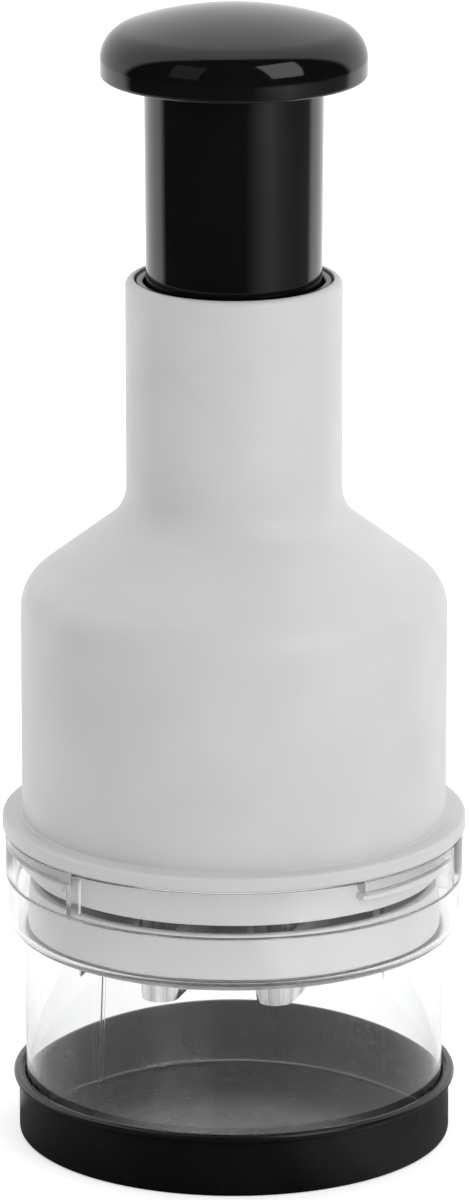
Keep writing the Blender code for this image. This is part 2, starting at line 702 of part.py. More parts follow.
def make_plunger(finish, parent):
    low_radius = PLUNGER_RADIUS - PLUNGER_TAPER
    top = knob_under(PLUNGER_RADIUS) - SEAT_GAP
    hole = SPIGOT_RADIUS + RUNNING_GAP
    points = outline(
        [
            (low_radius, PLUNGER_LOW, SMALL_ROUND),
            (PLUNGER_RADIUS, KNOB_LOW, 0),
            (PLUNGER_RADIUS, top, 0),
            (PLUNGER_BORE, top, 0),
            (PLUNGER_BORE, WEB_TOP, 0),
            (hole, WEB_TOP, 0),
            (hole, WEB_LOW, 0),
            (PLUNGER_BORE, WEB_LOW, 0),
            (PLUNGER_BORE, PLUNGER_LOW, 0),
        ]
    )
    tube = turned("plunger_tube", points, TUBE_STEPS, finish, parent)
    for side in (-1, 1):
        name = "left" if side < 0 else "right"
        place = (side * KNOB_BOSS_PLACE, 0)
        bore = SCREW_RADIUS + SCREW_GAP
        hole = round_bar(f"web_hole_{name}", bore, WEB_LOW - OVERRUN, WEB_TOP + OVERRUN, place)
        cut(tube, hole)
    for i, angle in enumerate(key_angles()):
        key = block(
            f"plunger_key_{i + 1}",
            (COLUMN_RADIUS - KEY_DEPTH, -KEY_WIDTH / 2, PLUNGER_LOW + SMALL_ROUND),
            (PLUNGER_BORE + PLUNGER_WALL / 2, KEY_WIDTH / 2, PLUNGER_LOW + KEY_HEIGHT),
            angle,
        )
        join(tube, key)
    return tube


def key_angles():
    """Where the plunger's keys run in the column's grooves, so that the plunger can't turn."""
    return [KEY_START_ANGLE + i * 360 / KEY_COUNT for i in range(KEY_COUNT)]


def make_column(finish, parent):
    """The bridge across the housing and the column that the plunger and spring stand on."""
    hole_low = COLUMN_TOP - COLUMN_TOP_THICKNESS
    points = outline(
        [
            (BRIDGE_RADIUS, BRIDGE_LOW, SMALL_ROUND),
            (BRIDGE_RADIUS, BRIDGE_TOP, SMALL_ROUND),
            (COLUMN_RADIUS, BRIDGE_TOP, 0),
            (COLUMN_RADIUS, COLUMN_TOP, SMALL_ROUND),
            (0, COLUMN_TOP, 0),
            (0, hole_low, 0),
            (COLUMN_BORE, hole_low, 0),
            (COLUMN_BORE, BRIDGE_LOW, 0),
        ]
    )
    column = turned("guide_column", points, TUBE_STEPS, finish, parent)
    socket_radius = NUT_BODY_RADIUS + SEAT_GAP + SEAT_GAP
    socket = round_bar("nut_socket", socket_radius, hole_low - OVERRUN, COLUMN_TOP + OVERRUN, steps=NUT_SIDES)
    cut(column, socket)
    for i, angle in enumerate(key_angles()):
        half = KEY_WIDTH / 2 + RUNNING_GAP
        groove = block(
            f"key_groove_{i + 1}",
            (COLUMN_RADIUS - KEY_DEPTH - RUNNING_GAP, -half, BRIDGE_TOP + RUNNING_GAP),
            (COLUMN_RADIUS + OVERRUN, half, COLUMN_TOP + OVERRUN),
            angle,
        )
        cut(column, groove)
    for i, angle in enumerate(boss_angles()):
        place = around(BOSS_PLACE, angle)
        bore = SCREW_RADIUS + SCREW_GAP
        hole = round_bar(f"bridge_hole_{i + 1}", bore, BRIDGE_LOW - OVERRUN, BRIDGE_TOP + OVERRUN, place)
        cut(column, hole)
        head_top = BRIDGE_SCREW_SEAT + SEAT_GAP
        bore = SCREW_HEAD_RADIUS + SCREW_GAP
        pocket = round_bar(f"head_pocket_{i + 1}", bore, BRIDGE_LOW - OVERRUN, head_top, place)
        cut(column, pocket)
    return column


def twisted_bar(name, side, low, high, finish=None, parent=None):
    """A square bar that turns as the blades must turn along the stroke."""
    shape = bmesh.new()
    steps = max(2, round((high - low) / (SPINDLE_SIDE / 2)))
    rings = []
    for i in range(steps + 1):
        height = low + (high - low) * i / steps
        turn = TWIST_PER_METRE * (height - SPINDLE_SEAT)
        corners = [around(side / sqrt(2), turn + 90 * k) for k in range(4)]
        rings.append([shape.verts.new((x, y, height)) for x, y in corners])
    join_rings(shape, rings)
    return object_of(name, shape, finish, parent)


def make_nut(finish, parent):
    """The hexagonal nut in the column's top, with a bore twisted as the spindle is."""
    low = COLUMN_TOP - COLUMN_TOP_THICKNESS
    flange_low = COLUMN_TOP + SEAT_GAP
    flange_top = flange_low + NUT_FLANGE
    body_top = flange_low + NUT_FLANGE / 2
    points = [(0, low), (NUT_BODY_RADIUS, low), (NUT_BODY_RADIUS, body_top), (0, body_top)]
    body = turned("cam_nut", points, NUT_SIDES, finish, parent)
    join(body, round_bar("nut_flange", NUT_FLANGE_RADIUS, flange_low, flange_top, steps=TUBE_STEPS // 2))
    bore_side = SPINDLE_SIDE + RUNNING_GAP + RUNNING_GAP
    bore = twisted_bar("nut_bore", bore_side, low - OVERRUN, flange_top + OVERRUN)
    cut(body, bore)
    return body


def make_spindle(finish, parent):
    """The twisted spindle, with its screwed flange below and its swivel spigot above."""
    low = SPINDLE_SEAT + SPINDLE_FLANGE / 2
    spindle = twisted_bar("drive_spindle", SPINDLE_SIDE, low, SPINDLE_TOP, finish, parent)
    flange = round_bar(
        "spindle_flange", HUB_RADIUS, SPINDLE_SEAT, SPINDLE_FLANGE_TOP, steps=TUBE_STEPS // 2
    )
    join(spindle, flange)
    join(spindle, round_bar("spindle_spigot", SPIGOT_RADIUS, SPINDLE_TOP - OVERRUN, SPIGOT_TOP))
    hole = round_bar(
        "swivel_hole",
        SCREW_RADIUS + SCREW_GAP,
        SPIGOT_TOP - SWIVEL_SCREW_LENGTH,
        SPIGOT_TOP + OVERRUN,
    )
    cut(spindle, hole)
    for i, angle in enumerate(spindle_screw_angles()):
        place = around(SPINDLE_SCREW_PLACE, angle)
        hole = round_bar(
            f"flange_hole_{i + 1}",
            SCREW_RADIUS + SCREW_GAP,
            SPINDLE_SEAT - OVERRUN,
            SPINDLE_FLANGE_TOP + OVERRUN,
            place,
        )
        cut(spindle, hole)
    return spindle


def spindle_screw_angles():
    count = SPINDLE_SCREW_COUNT
    return [SPINDLE_SCREW_START_ANGLE + i * 360 / count for i in range(count)]


def make_swivel_washer(finish, parent):
    bore = SCREW_RADIUS + SCREW_GAP
    high = WASHER_LOW + WASHER_THICKNESS
    points = [(bore, WASHER_LOW), (WASHER_RADIUS, WASHER_LOW), (WASHER_RADIUS, high), (bore, high)]
    return turned("swivel_washer", points, SMALL_STEPS + SMALL_STEPS // 2, finish, parent)


def bend(centre, radius, start, end):
    """Plan points round a blade bend."""
    turns = [radians(start + (end - start) * i / BEND_STEPS) for i in range(BEND_STEPS + 1)]
    return [Vector((centre[0] + radius * cos(t), centre[1] + radius * sin(t))) for t in turns]


def inner_bend(leg_point, next_leg):
    """The middle bend that joins a slanted leg to the straight leg after it, as (centre, radius)."""
    along = Vector((sin(radians(LEG_SLANT)), cos(radians(LEG_SLANT))))
    reach = (next_leg - leg_point.x) * along.y + (BEND_TO_MIDDLE + leg_point.y) * along.x
    radius = reach / (1 + along.y - along.x)
    return Vector((next_leg - radius, -BEND_TO_MIDDLE - radius)), radius


def on_circle(x, radius):
    """The front point of a circle about the axis at this x."""
    return Vector((x, -sqrt(radius * radius - x * x)))


def blade_plan():
    """The front blade seen from above: its start, its outer and inner bends, and its end."""
    start = on_circle(BLADE_RADIUS * BLADE_START_SHARE, BLADE_RADIUS - BLADE_END_SETBACK)
    end = on_circle(BLADE_RADIUS * BLADE_END_SHARE, BLADE_RADIUS - BLADE_END_SETBACK)
    outer = [on_circle(BLADE_RADIUS * share, BLADE_RADIUS - OUTER_BEND_RADIUS) for share in OUTER_BEND_SHARES]
    off_leg = Vector((cos(radians(LEG_SLANT)), -sin(radians(LEG_SLANT))))
    leg_points = [start] + [centre + off_leg * OUTER_BEND_RADIUS for centre in outer]
    next_legs = [centre.x - OUTER_BEND_RADIUS for centre in outer] + [end.x]
    inner = [inner_bend(point, leg) for point, leg in zip(leg_points, next_legs)]
    return start, outer, inner, end


def blade_path():
    start, outer, inner, end = blade_plan()
    path = [start]
    for i, (centre, radius) in enumerate(inner):
        path += bend(centre, radius, 180 - LEG_SLANT, 0)
        if i < len(outer):
            path += bend(outer[i], OUTER_BEND_RADIUS, 180, 360 - LEG_SLANT)
    return path + [end]


def strip(name, path, section, finish=None, parent=None, turn=0.0):
    """A strip that stands on a plan path, its section given as (side, z) points."""
    shape = bmesh.new()
    rings = []
    for i, point in enumerate(path):
        into = (point - path[i - 1]).normalized() if i else None
        onward = (path[i + 1] - point).normalized() if i + 1 < len(path) else None
        if into and onward:
            mitre = (into + onward).normalized()
            stretch = 1 / max(mitre.dot(into), LEAST_MITRE)
        else:
            mitre = into or onward
            stretch = 1
        side = Vector((-mitre.y, mitre.x)) * stretch
        rings.append([shape.verts.new((*(point + side * s), z)) for s, z in section])
    join_rings(shape, rings)
    bmesh.ops.rotate(shape, verts=shape.verts, cent=(0, 0, 0), matrix=Matrix.Rotation(radians(turn), 3, "Z"))
    return object_of(name, shape, finish, parent)


def extended(path, length):
    """The path with its ends run on."""
    first = path[0] + (path[0] - path[1]).normalized() * length
    last = path[-1] + (path[-1] - path[-2]).normalized() * length
    return [first] + path[1:-1] + [last]


def upright(thickness, low, high):
    half = thickness / 2
    return [(-half, low), (half, low), (half, high), (-half, high)]


def make_blade(name, turn, finish, parent):
    half = BLADE_THICKNESS / 2
    edge = BLADE_EDGE / 2
    section = [
        (-edge, BLADE_LOW),
        (edge, BLADE_LOW),
        (half, BLADE_LOW + BLADE_BEVEL),
        (half, BLADE_TOP),
        (-half, BLADE_TOP),
        (-half, BLADE_LOW + BLADE_BEVEL),
    ]
    return strip(name, blade_path(), section, finish, parent, turn)


def make_carrier(finish, parent):
    """The disc that holds the blades' top edges, with the hub that the spindle is screwed to."""
    points = outline(
        [
            (0, CARRIER_LOW, 0),
            (BLADE_RADIUS + CARRIER_RIM, CARRIER_LOW, SMALL_ROUND),
            (BLADE_RADIUS + CARRIER_RIM, CARRIER_TOP, SMALL_ROUND),
            (HUB_RADIUS, CARRIER_TOP, 0),
            (HUB_RADIUS, HUB_TOP, 0),
            (0, HUB_TOP, 0),
        ]
    )
    carrier = turned("blade_carrier", points, TUBE_STEPS, finish, parent)
    section = upright(SLOT_WIDTH, CARRIER_LOW - OVERRUN, CARRIER_LOW + BLADE_SOCKET_DEPTH)
    for name, turn in (("front", 0), ("rear", 180)):
        cut(carrier, strip(f"{name}_blade_socket", extended(blade_path(), SEAT_GAP), section, turn=turn))
    for i, angle in enumerate(spindle_screw_angles()):
        place = around(SPINDLE_SCREW_PLACE, angle)
        low = SPINDLE_FLANGE_TOP - SPINDLE_SCREW_LENGTH - SCREW_TIP_SPACE
        cut(carrier, round_bar(f"hub_hole_{i + 1}", SCREW_RADIUS + SCREW_GAP, low, HUB_TOP + OVERRUN, place))
    return carrier


def tongue_paths():
    """The plan of the wall round each tongue of the basket floor, set back from the slot's edge."""
    inner = blade_plan()[2]
    offset = (SLOT_WIDTH + TONGUE_WALL) / 2 + TONGUE_WALL_SETBACK
    along = Vector((sin(radians(LEG_SLANT)), cos(radians(LEG_SLANT))))
    reach = BASKET_RADIUS - BASKET_WALL / 2
    for centre, radius in inner:
        arc_points = bend(centre, radius - offset, 180 - LEG_SLANT, 0)
        first = to_circle(arc_points[0], -along, reach)
        last = to_circle(arc_points[-1], Vector((0, -1)), reach)
        yield [first] + arc_points + [last]


def to_circle(point, direction, radius):
    """Where a line from a point inside a circle about the axis meets that circle."""
    half = point.dot(direction)
    return point + direction * (sqrt(half * half - point.dot(point) + radius * radius) - half)


def make_basket(finish, parent):
    """The scraper basket: a ring, a slotted floor and walls along the slots."""
    floor_top = BASKET_LOW + BASKET_FLOOR
    points = outline(
        [
            (0, BASKET_LOW, 0),
            (BASKET_RADIUS, BASKET_LOW, SMALL_ROUND),
            (BASKET_RADIUS, BASKET_TOP, SMALL_ROUND),
            (BASKET_BORE, BASKET_TOP, 0),
            (BASKET_BORE, floor_top, 0),
            (0, floor_top, 0),
        ]
    )
    basket = turned("scraper_basket", points, OUTER_STEPS, finish, parent)
    for name, turn in (("front", 0), ("rear", 180)):
        section = upright(TONGUE_WALL, floor_top - BASKET_FLOOR / 2, TONGUE_WALL_TOP)
        for i, path in enumerate(tongue_paths()):
            join(basket, strip(f"{name}_tongue_wall_{i + 1}", path, section, turn=turn))
        section = upright(SLOT_WIDTH, BASKET_LOW - OVERRUN, TONGUE_WALL_TOP + OVERRUN)
        cut(basket, strip(f"{name}_slot", extended(blade_path(), RUNNING_GAP), section, turn=turn))
    return basket


def spring_points():
    """Points of the spring's centre line: dead curls at both ends and even curls between."""
    low = SPRING_LOW + SPRING_WIRE / 2
    length = SPRING_TOP - SPRING_LOW - SPRING_WIRE
    dead = SPRING_END_CURLS * SPRING_END_PITCH
    live_curls = SPRING_CURLS - 2 * SPRING_END_CURLS
    live_pitch = (length - 2 * dead) / live_curls
    points = []
    for i in range(SPRING_CURLS * SPRING_STEPS + 1):
        turn = i / SPRING_STEPS
        ends = min(turn, SPRING_END_CURLS) + max(turn - SPRING_CURLS + SPRING_END_CURLS, 0)
        live = min(max(turn - SPRING_END_CURLS, 0), live_curls)
        x, y = around(SPRING_RADIUS, 360 * turn)
        points.append(Vector((x, y, low + ends * SPRING_END_PITCH + live * live_pitch)))
    return points


def least_gap(points):
    """The least distance between the spring's own curls, less its wire."""
    gap = min(
        (points[i] - points[j]).length
        for i in range(len(points))
        for j in range(i + SPRING_STEPS // 2, len(points))
    )
    return gap - SPRING_WIRE


def make_spring(finish, parent):
    points = spring_points()
    print(f"return_spring: least gap to itself {least_gap(points) / MM:.2f} mm")
    curve = bpy.data.curves.new("return_spring", "CURVE")
    curve.dimensions = "3D"
    curve.bevel_depth = SPRING_WIRE / 2
    curve.bevel_resolution = 1
    curve.use_fill_caps = True
    spline = curve.splines.new("POLY")
    spline.points.add(len(points) - 1)
    for knot, point in zip(spline.points, points):
        knot.co = (*point, 1)
    curve.materials.append(finish)
    spring = bpy.data.objects.new("return_spring", curve)
    spring.parent = parent
    bpy.context.scene.collection.objects.link(spring)
    return spring


def make_finishes():
    return {
        "black": plastic("black_gloss_plastic", (0.02, 0.02, 0.021), 0.2),
        "satin": plastic("black_satin_plastic", (0.028, 0.028, 0.03), 0.4),
        "white": plastic("white_plastic", (0.62, 0.62, 0.62), 0.35),
        "clear": plastic("clear_plastic", (0.95, 0.95, 0.95), 0.05, 0.9),
        "inner": plastic("black_inner_plastic", (0.05, 0.05, 0.05), 0.5),
        "steel": material("blade_steel", (0.62, 0.62, 0.62), 0.25, 1.0),
        "zinc": material("zinc_steel", (0.5, 0.5, 0.5), 0.4, 1.0),
        "brass": material("brass", (0.68, 0.5, 0.24), 0.35, 1.0),
    }


def make_fixed_parts(finish, base, chamber):
    make_base_cup(finish["satin"], base)
    make_chamber(finish["clear"], chamber)


def make_housing_parts(finish, housing):
    make_housing(finish["white"], housing)
    make_bush(finish["satin"], housing)
    make_column(finish["inner"], housing)
    make_nut(finish["brass"], housing)
    make_spring(finish["zinc"], housing)
    for i, angle in enumerate(boss_angles()):
        place = around(BOSS_PLACE, angle)
        name = f"bridge_screw_{i + 1}"
        screw(name, BRIDGE_SCREW_LENGTH, finish["zinc"], housing, place, BRIDGE_SCREW_SEAT, upward=True)


def make_plunger_parts(finish, plunger):
    make_plunger(finish["black"], plunger)
    make_knob(finish["black"], plunger)
    seat = WEB_LOW - SEAT_GAP
    for name, side in (("left", -1), ("right", 1)):
        place = (side * KNOB_BOSS_PLACE, 0)
        screw(f"knob_screw_{name}", KNOB_SCREW_LENGTH, finish["zinc"], plunger, place, seat, upward=True)


def make_rotor_parts(finish, rotor):
    make_spindle(finish["zinc"], rotor)
    make_swivel_washer(finish["zinc"], rotor)
    seat = WASHER_LOW + WASHER_THICKNESS + SEAT_GAP
    screw("swivel_screw", SWIVEL_SCREW_LENGTH, finish["zinc"], rotor, (0, 0), seat)
    make_carrier(finish["inner"], rotor)
    make_blade("front_blade", 0, finish["steel"], rotor)
    make_blade("rear_blade", 180, finish["steel"], rotor)
    for i, angle in enumerate(spindle_screw_angles()):
        place = around(SPINDLE_SCREW_PLACE, angle)
        seat = SPINDLE_FLANGE_TOP + SEAT_GAP
        screw(f"spindle_screw_{i + 1}", SPINDLE_SCREW_LENGTH, finish["zinc"], rotor, place, seat)


def main():
    clear_scene()
    finish = make_finishes()
    base = joint_frame("base_frame")
    chamber = joint_frame("chamber_lift_axis", base)
    housing = joint_frame("housing_twist_axis", chamber)
    plunger = joint_frame("plunger_press_axis", housing)
    rotor = joint_frame("blade_turn_axis", plunger)
    basket = joint_frame("basket_turn_axis", housing)
    make_fixed_parts(finish, base, chamber)
    make_housing_parts(finish, housing)
    make_plunger_parts(finish, plunger)
    make_rotor_parts(finish, rotor)
    make_basket(finish["white"], basket)


main()
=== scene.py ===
"""The look of a push-down onion chopper.

Fine-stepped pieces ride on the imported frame, then come finishes, studio and camera.
"""

import json
from math import atan2, cos, degrees, pi, radians, sin, sqrt, tan

import bmesh
import bpy
from mathutils import Matrix, Vector


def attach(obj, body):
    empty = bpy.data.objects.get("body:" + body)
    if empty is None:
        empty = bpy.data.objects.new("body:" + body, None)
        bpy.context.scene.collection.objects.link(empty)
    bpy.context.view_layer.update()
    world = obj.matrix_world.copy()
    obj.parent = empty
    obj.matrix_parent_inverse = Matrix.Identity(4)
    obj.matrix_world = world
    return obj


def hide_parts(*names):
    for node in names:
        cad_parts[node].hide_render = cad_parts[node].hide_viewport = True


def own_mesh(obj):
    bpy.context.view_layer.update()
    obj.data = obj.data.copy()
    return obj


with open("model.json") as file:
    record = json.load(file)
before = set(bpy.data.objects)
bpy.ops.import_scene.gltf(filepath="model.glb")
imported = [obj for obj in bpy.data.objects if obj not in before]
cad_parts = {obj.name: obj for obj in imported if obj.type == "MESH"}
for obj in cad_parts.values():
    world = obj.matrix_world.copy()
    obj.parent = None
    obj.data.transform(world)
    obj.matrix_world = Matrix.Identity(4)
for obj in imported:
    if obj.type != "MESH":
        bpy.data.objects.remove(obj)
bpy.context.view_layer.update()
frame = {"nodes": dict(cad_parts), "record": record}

MM = 0.001

# Fits
SEAT_GAP = 0.3 * MM
RUNNING_GAP = 0.3 * MM
SCREW_BORE = 1.6 * MM
SMALL_ROUND = 0.4 * MM
OVERRUN = 1.0 * MM
OVERLAP = 0.8 * MM

# Base cup
CUP_RADIUS = 44.35 * MM
CUP_HEIGHT = 13.3 * MM
CUP_BORE = 43.2 * MM
CUP_FLOOR = 2.0 * MM
CUP_FOOT_FILLET = 0.8 * MM
CUP_LIP_RADIUS = 45.45 * MM
CUP_LIP_LOW = 11.4 * MM
CUP_LIP_ROUND = 0.9 * MM
CUP_MOUTH_CHAMFER = 0.75 * MM
CUP_MOUTH_ROUND = 0.3 * MM
CUP_INNER_FILLET = 0.35 * MM

# Chamber
CHAMBER_RADIUS = 42.9 * MM
CHAMBER_BORE = 41.2 * MM
CHAMBER_FOOT = 2.3 * MM
CHAMBER_FOOT_ROUND = 0.2 * MM
LEDGE_LOW = 43.7 * MM
LEDGE_TOP = 45.1 * MM
LEDGE_ROUND = 3.4 * MM
LEDGE_INNER_ROUND = 1.8 * MM
COLLAR_RADIUS = 46.9 * MM
COLLAR_BORE = 45.2 * MM
COLLAR_STEP = 0.5 * MM
COLLAR_STEP_LOW = 55.0 * MM
COLLAR_STEP_TOP = 55.5 * MM
COLLAR_STEP_ROUND = 0.25 * MM
COLLAR_TOP = 64.9 * MM
COLLAR_LIP_ROUND = 0.5 * MM
COLLAR_INNER_ROUND = 0.2 * MM
RIB_ANGLE = 132.6
RIB_WIDTH = 0.8 * MM
RIB_DEPTH = 0.5 * MM

# Bayonet
LUG_COUNT = 3
LUG_ANGLE = 35.0
LUG_MIDDLE_ANGLE = -67.5
LUG_TOP = 61.4 * MM
LUG_THICKNESS = 2.0 * MM
LUG_TAPER = 0.8 * MM
LUG_ROUND = 0.4 * MM
LUG_END_ROUNDS = (0.5 * MM, 0.9 * MM)
RAMP_PLAY = 0.4 * MM
RAMP_THICKNESS = 2.4 * MM
RAMP_ROUND = 0.3 * MM
RAMP_END_ROUNDS = (0.4 * MM, 0.4 * MM)
STOP_ANGLE = 1.6
STOP_PLAY_ANGLE = 3.6
STOP_LOW = 55.5 * MM
STOP_TOP = 64.4 * MM

# Housing
SKIRT_RADIUS = 42.4 * MM
SKIRT_BORE = 40.4 * MM
SKIRT_LOW = 56.9 * MM
SKIRT_FILLET = 0.3 * MM
FLANGE_RADIUS = 47.45 * MM
FLANGE_LOW = 65.2 * MM
FLANGE_TOP = 68.3 * MM
FLANGE_ROUND = 0.7 * MM
BODY_RADIUS = 43.4 * MM
HOUSING_WALL = 2.0 * MM
SHOULDER_SLOPE = 37.3
SHOULDER_TOP = 132.481 * MM
SHOULDER_ROUND = 9.1 * MM
NECK_FILLET = 9.6 * MM
NECK_RADIUS = 21.897 * MM
NECK_TOP = 180.181 * MM
NECK_MOUTH = 20.097 * MM
NECK_BORE = 19.097 * MM
NECK_LIP_ROUND = 1.4 * MM
NECK_MOUTH_ROUND = 0.3 * MM
BUSH_SEAT = 161.881 * MM
BUSH_LOW = 162.181 * MM
BUSH_TOP = 179.781 * MM
BUSH_BORE = 18.347 * MM
BUSH_CHAMFER = 0.3 * MM
BUSH_EDGE_ROUND = 0.1 * MM
BOSS_PLACE = 35.6 * MM
BOSS_RADIUS = 3.6 * MM
BOSS_WEB = 3.0 * MM
BOSS_LOW = 100.3 * MM
BOSS_HOLE_TOP = 110.0 * MM

# Plunger and knob
PLUNGER_RADIUS = 18.047 * MM
PLUNGER_LOW_RADIUS = 17.447 * MM
PLUNGER_BORE = 15.947 * MM
PLUNGER_LOW = 136.9 * MM
WEB_LOW = 212.131 * MM
WEB_TOP = 215.131 * MM
WEB_HOLE = 3.5 * MM
KEY_COUNT = 3
KEY_START_ANGLE = 30.0
KEY_WIDTH = 2.4 * MM
KEY_INNER = 14.247 * MM
KEY_HEIGHT = 9.0 * MM
KEY_OVERLAP = 0.75 * MM
KNOB_RADIUS = 26.847 * MM
KNOB_TOP = 235.381 * MM
KNOB_LOW = 221.431 * MM
KNOB_CROWN_RADIUS = 68.3 * MM
KNOB_CORNER_RADIUS = 7.0 * MM
KNOB_WALL = 2.2 * MM
KNOB_RIM_ROUND = 0.9 * MM
KNOB_RIB_COUNT = 6
KNOB_RIB_ANGLE = 2.6
KNOB_RIB_RECESS = 2.5 * MM
KNOB_BOSS_PLACE = 9.0 * MM
KNOB_BOSS_RADIUS = 3.0 * MM
KNOB_HOLE_TOP = 224.131 * MM
SOCKET_WALL = 1.8 * MM
SOCKET_RECESS = 0.8 * MM

# Basket and blades
BASKET_RADIUS = 42.3 * MM
BASKET_BORE = 40.8 * MM
BASKET_LOW = 45.4 * MM
BASKET_TOP = 55.0 * MM
BASKET_FLOOR = 1.8 * MM
BASKET_RIM_ROUND = 0.2 * MM
BASKET_FLOOR_FILLET = 0.3 * MM
TONGUE_WALL = 1.3 * MM
TONGUE_WALL_TOP = 54.2 * MM
TONGUE_WALL_SETBACK = 0.15 * MM
TONGUE_WALL_INSET = 0.75 * MM
BLADE_THICKNESS = 0.6 * MM
SLOT_WIDTH = BLADE_THICKNESS + RUNNING_GAP + RUNNING_GAP
BLADE_LOW = 38.5 * MM
BLADE_TOP = 93.6 * MM
BLADE_RADIUS = 38.0 * MM
BLADE_END_RADIUS = 36.0 * MM
BLADE_BEVEL = 1.8 * MM
BLADE_EDGE = 0.12 * MM
LEG_SLANT = 17.0
OUTER_BEND_RADIUS = 3.6 * MM
OUTER_BEND_PLACES = (-14.592 * MM, 8.246 * MM)
BLADE_START_PLACE = -30.894 * MM
BLADE_END_PLACE = 29.906 * MM
BEND_TO_MIDDLE = 1.6 * MM

# Spring
SPRING_LOW = 150.3 * MM
SPRING_TOP = 211.831 * MM
SPRING_RADIUS = 13.797 * MM
SPRING_WIRE = 1.5 * MM
SPRING_CURLS = 9
SPRING_END_PITCH = 2.1 * MM

# Steps
TURN_STEPS = 192
ARC_STEPS = 30
ROUND_STEPS = 6
LARGE_ROUND = 5 * MM
BEND_STEPS = 18
KNOB_STEPS = 16
KNOB_INNER_STEPS = 10
KNOB_RIB_STEPS = 2
CURL_STEPS = 40
WIRE_SIDES = 12
BAR_SIDES = 48
MITRE_LIMIT = 0.5
MERGE_DISTANCE = 1e-7
SHARP_ANGLE = 26.0

# Moulded plastic: material name, dark and light tone, roughness, scale and depth of its grain
MOULDED = {
    "black_gloss": (
        "gloss_black",
        (0.0028, 0.0028, 0.003),
        (0.0045, 0.0045, 0.0048),
        (0.05, 0.1),
        900,
        0.002 * MM,
    ),
    "black_satin": (
        "satin_black",
        (0.003, 0.003, 0.0032),
        (0.005, 0.005, 0.0052),
        (0.2, 0.3),
        2200,
        0.005 * MM,
    ),
    "black_inner": (
        "inner_black",
        (0.02, 0.02, 0.02),
        (0.03, 0.03, 0.03),
        (0.45, 0.6),
        2200,
        0.015 * MM,
    ),
    "white": (
        "white_moulded",
        (0.60, 0.60, 0.597),
        (0.63, 0.63, 0.627),
        (0.34, 0.44),
        2000,
        0.006 * MM,
    ),
}
TONE_SCALE = 45
HAZE_SCALE = 160
SWELL_SCALE = 60
SWELL_DEPTH = 0.05 * MM

# Metal: material name, dark and light tone, roughness, stretch of its lines
METAL = {
    "blade_steel": (
        "polished_blade",
        (0.36, 0.36, 0.36),
        (0.8, 0.8, 0.8),
        (0.1, 0.2),
        (0.3, 0.3, 0.012),
    ),
    "spring_steel": (
        "drawn_wire",
        (0.4, 0.4, 0.4),
        (0.55, 0.55, 0.55),
        (0.28, 0.42),
        (1, 1, 0.2),
    ),
    "screw_steel": (
        "zinc_plate",
        (0.48, 0.48, 0.49),
        (0.6, 0.6, 0.62),
        (0.3, 0.45),
        (1, 1, 1),
    ),
    "brass": (
        "turned_brass",
        (0.58, 0.42, 0.18),
        (0.72, 0.53, 0.26),
        (0.22, 0.38),
        (0.2, 0.2, 1),
    ),
}
LINE_SCALE = 1600
LINE_DEPTH = 0.004 * MM
PIT_SCALE = 2600
PIT_DEPTH = 0.002 * MM

# The part of a noise texture's range that roughness and tone follow
ROUGH_NOISE = (0.3, 0.7)
TONE_NOISE = (0.35, 0.65)

# Clear plastic. Frost fades in or out between two distances from the ledge's middle height,
# the rib's inner face or the collar's bore.
CLEAR_TONE = (0.985, 0.988, 0.99)
CLEAR_IOR = 1.49
CLEAR_ABSORPTION = 6.0
LAMP_SHARE = 0.98
CLEAR_WAVE_SCALE = 35
CLEAR_WAVE_DEPTH = 0.03 * MM
SCUFF_SCALE = 900
SCUFF_STRETCH = (1, 1, 0.05)
SCUFF_NOISE = (0.55, 0.75)
SCUFF_ROUGHNESS = 0.05
FROST_ROUGHNESS = 0.5
LEDGE_FROST_END = (0.7 * MM, 1.1 * MM)
RIB_FROST_START = (0.2 * MM, 0.3 * MM)
RIB_FROST_END = (0.7 * MM, 0.9 * MM)
BAYONET_ROUGHNESS = 0.35
BAYONET_FROST_START = (0.1 * MM, 0.3 * MM)

# Floor. A way is how far a place lies to the back or the right, as a share of its distance.
FLOOR_RADIUS = 1.2
FLOOR_DEPTH = 3 * MM
FLOOR_STEPS = 96
FLOOR_ROUGHNESS = 0.9
FLOOR_LIFT = 0.45
FLOOR_LIFT_IN_GLASS = 0.3
FLOOR_LIFT_BEHIND_GLASS = 0.1
FLOOR_WHITE = 0.85
FLOOR_DARK = 0.04
FLOOR_BACK = (0.25, 0.42)
FLOOR_NEAR = (0.35, 0.55)
FLOOR_NEAR_WAY = (-0.9, 0.1)
FLOOR_NEAR_TONES = (0.16, 0.6)
# As gloss sees it, the floor darkens within these reaches of the axis, to this share: a painted
# shadow at the part's foot.
FLOOR_FOOT = (0.08, 0.12)
FLOOR_FOOT_SHADOW_SHARE = 0.3
FLOOR_GLOW = 0.45
FLOOR_GLOW_WAY = 0.68
FLOOR_GLOW_WIDTH = 0.55

# Room
ROOM_TURN = 5.2
ROOM_LEAN = 0.5
ROOM_EDGE = (0.24, 0.36)
ROOM_DIM = 0.02
AMBIENT_WAY = (-0.5, 0.5)
AMBIENT_FRONT = 0.46
AMBIENT_BACK = 1.32

# Lamps: name, place, aim, size, radiance, whether gloss shows it
LAMP_AIM = (0, 0, 0.12)
LOW_AIM = (0, 0, 0.08)
LAMPS = (
    ("key_right", (0.8, -0.75, 0.85), LAMP_AIM, (0.7, 1.0), 1.9, True),
    ("wash_low", (0.65, -1.1, 0.4), LOW_AIM, (0.8, 0.4), 3.2, False),
    ("fill_left", (-0.8, -0.85, 0.75), LAMP_AIM, (0.6, 0.9), 0.22, True),
)

# Camera
CAMERA_PLACE = (0.2 * MM, -1.5737, 0.5563)
CAMERA_DIP = 15.74
CAMERA_LENS = 241.14
SENSOR_HEIGHT = 36
CLIP_END = 20


# Geometry


def linked(name, mesh):
    obj = bpy.data.objects.new(name, mesh)
    bpy.context.scene.collection.objects.link(obj)
    return obj


def smoothed(mesh):
    mesh.shade_smooth()
    mesh.set_sharp_from_angle(angle=radians(SHARP_ANGLE))


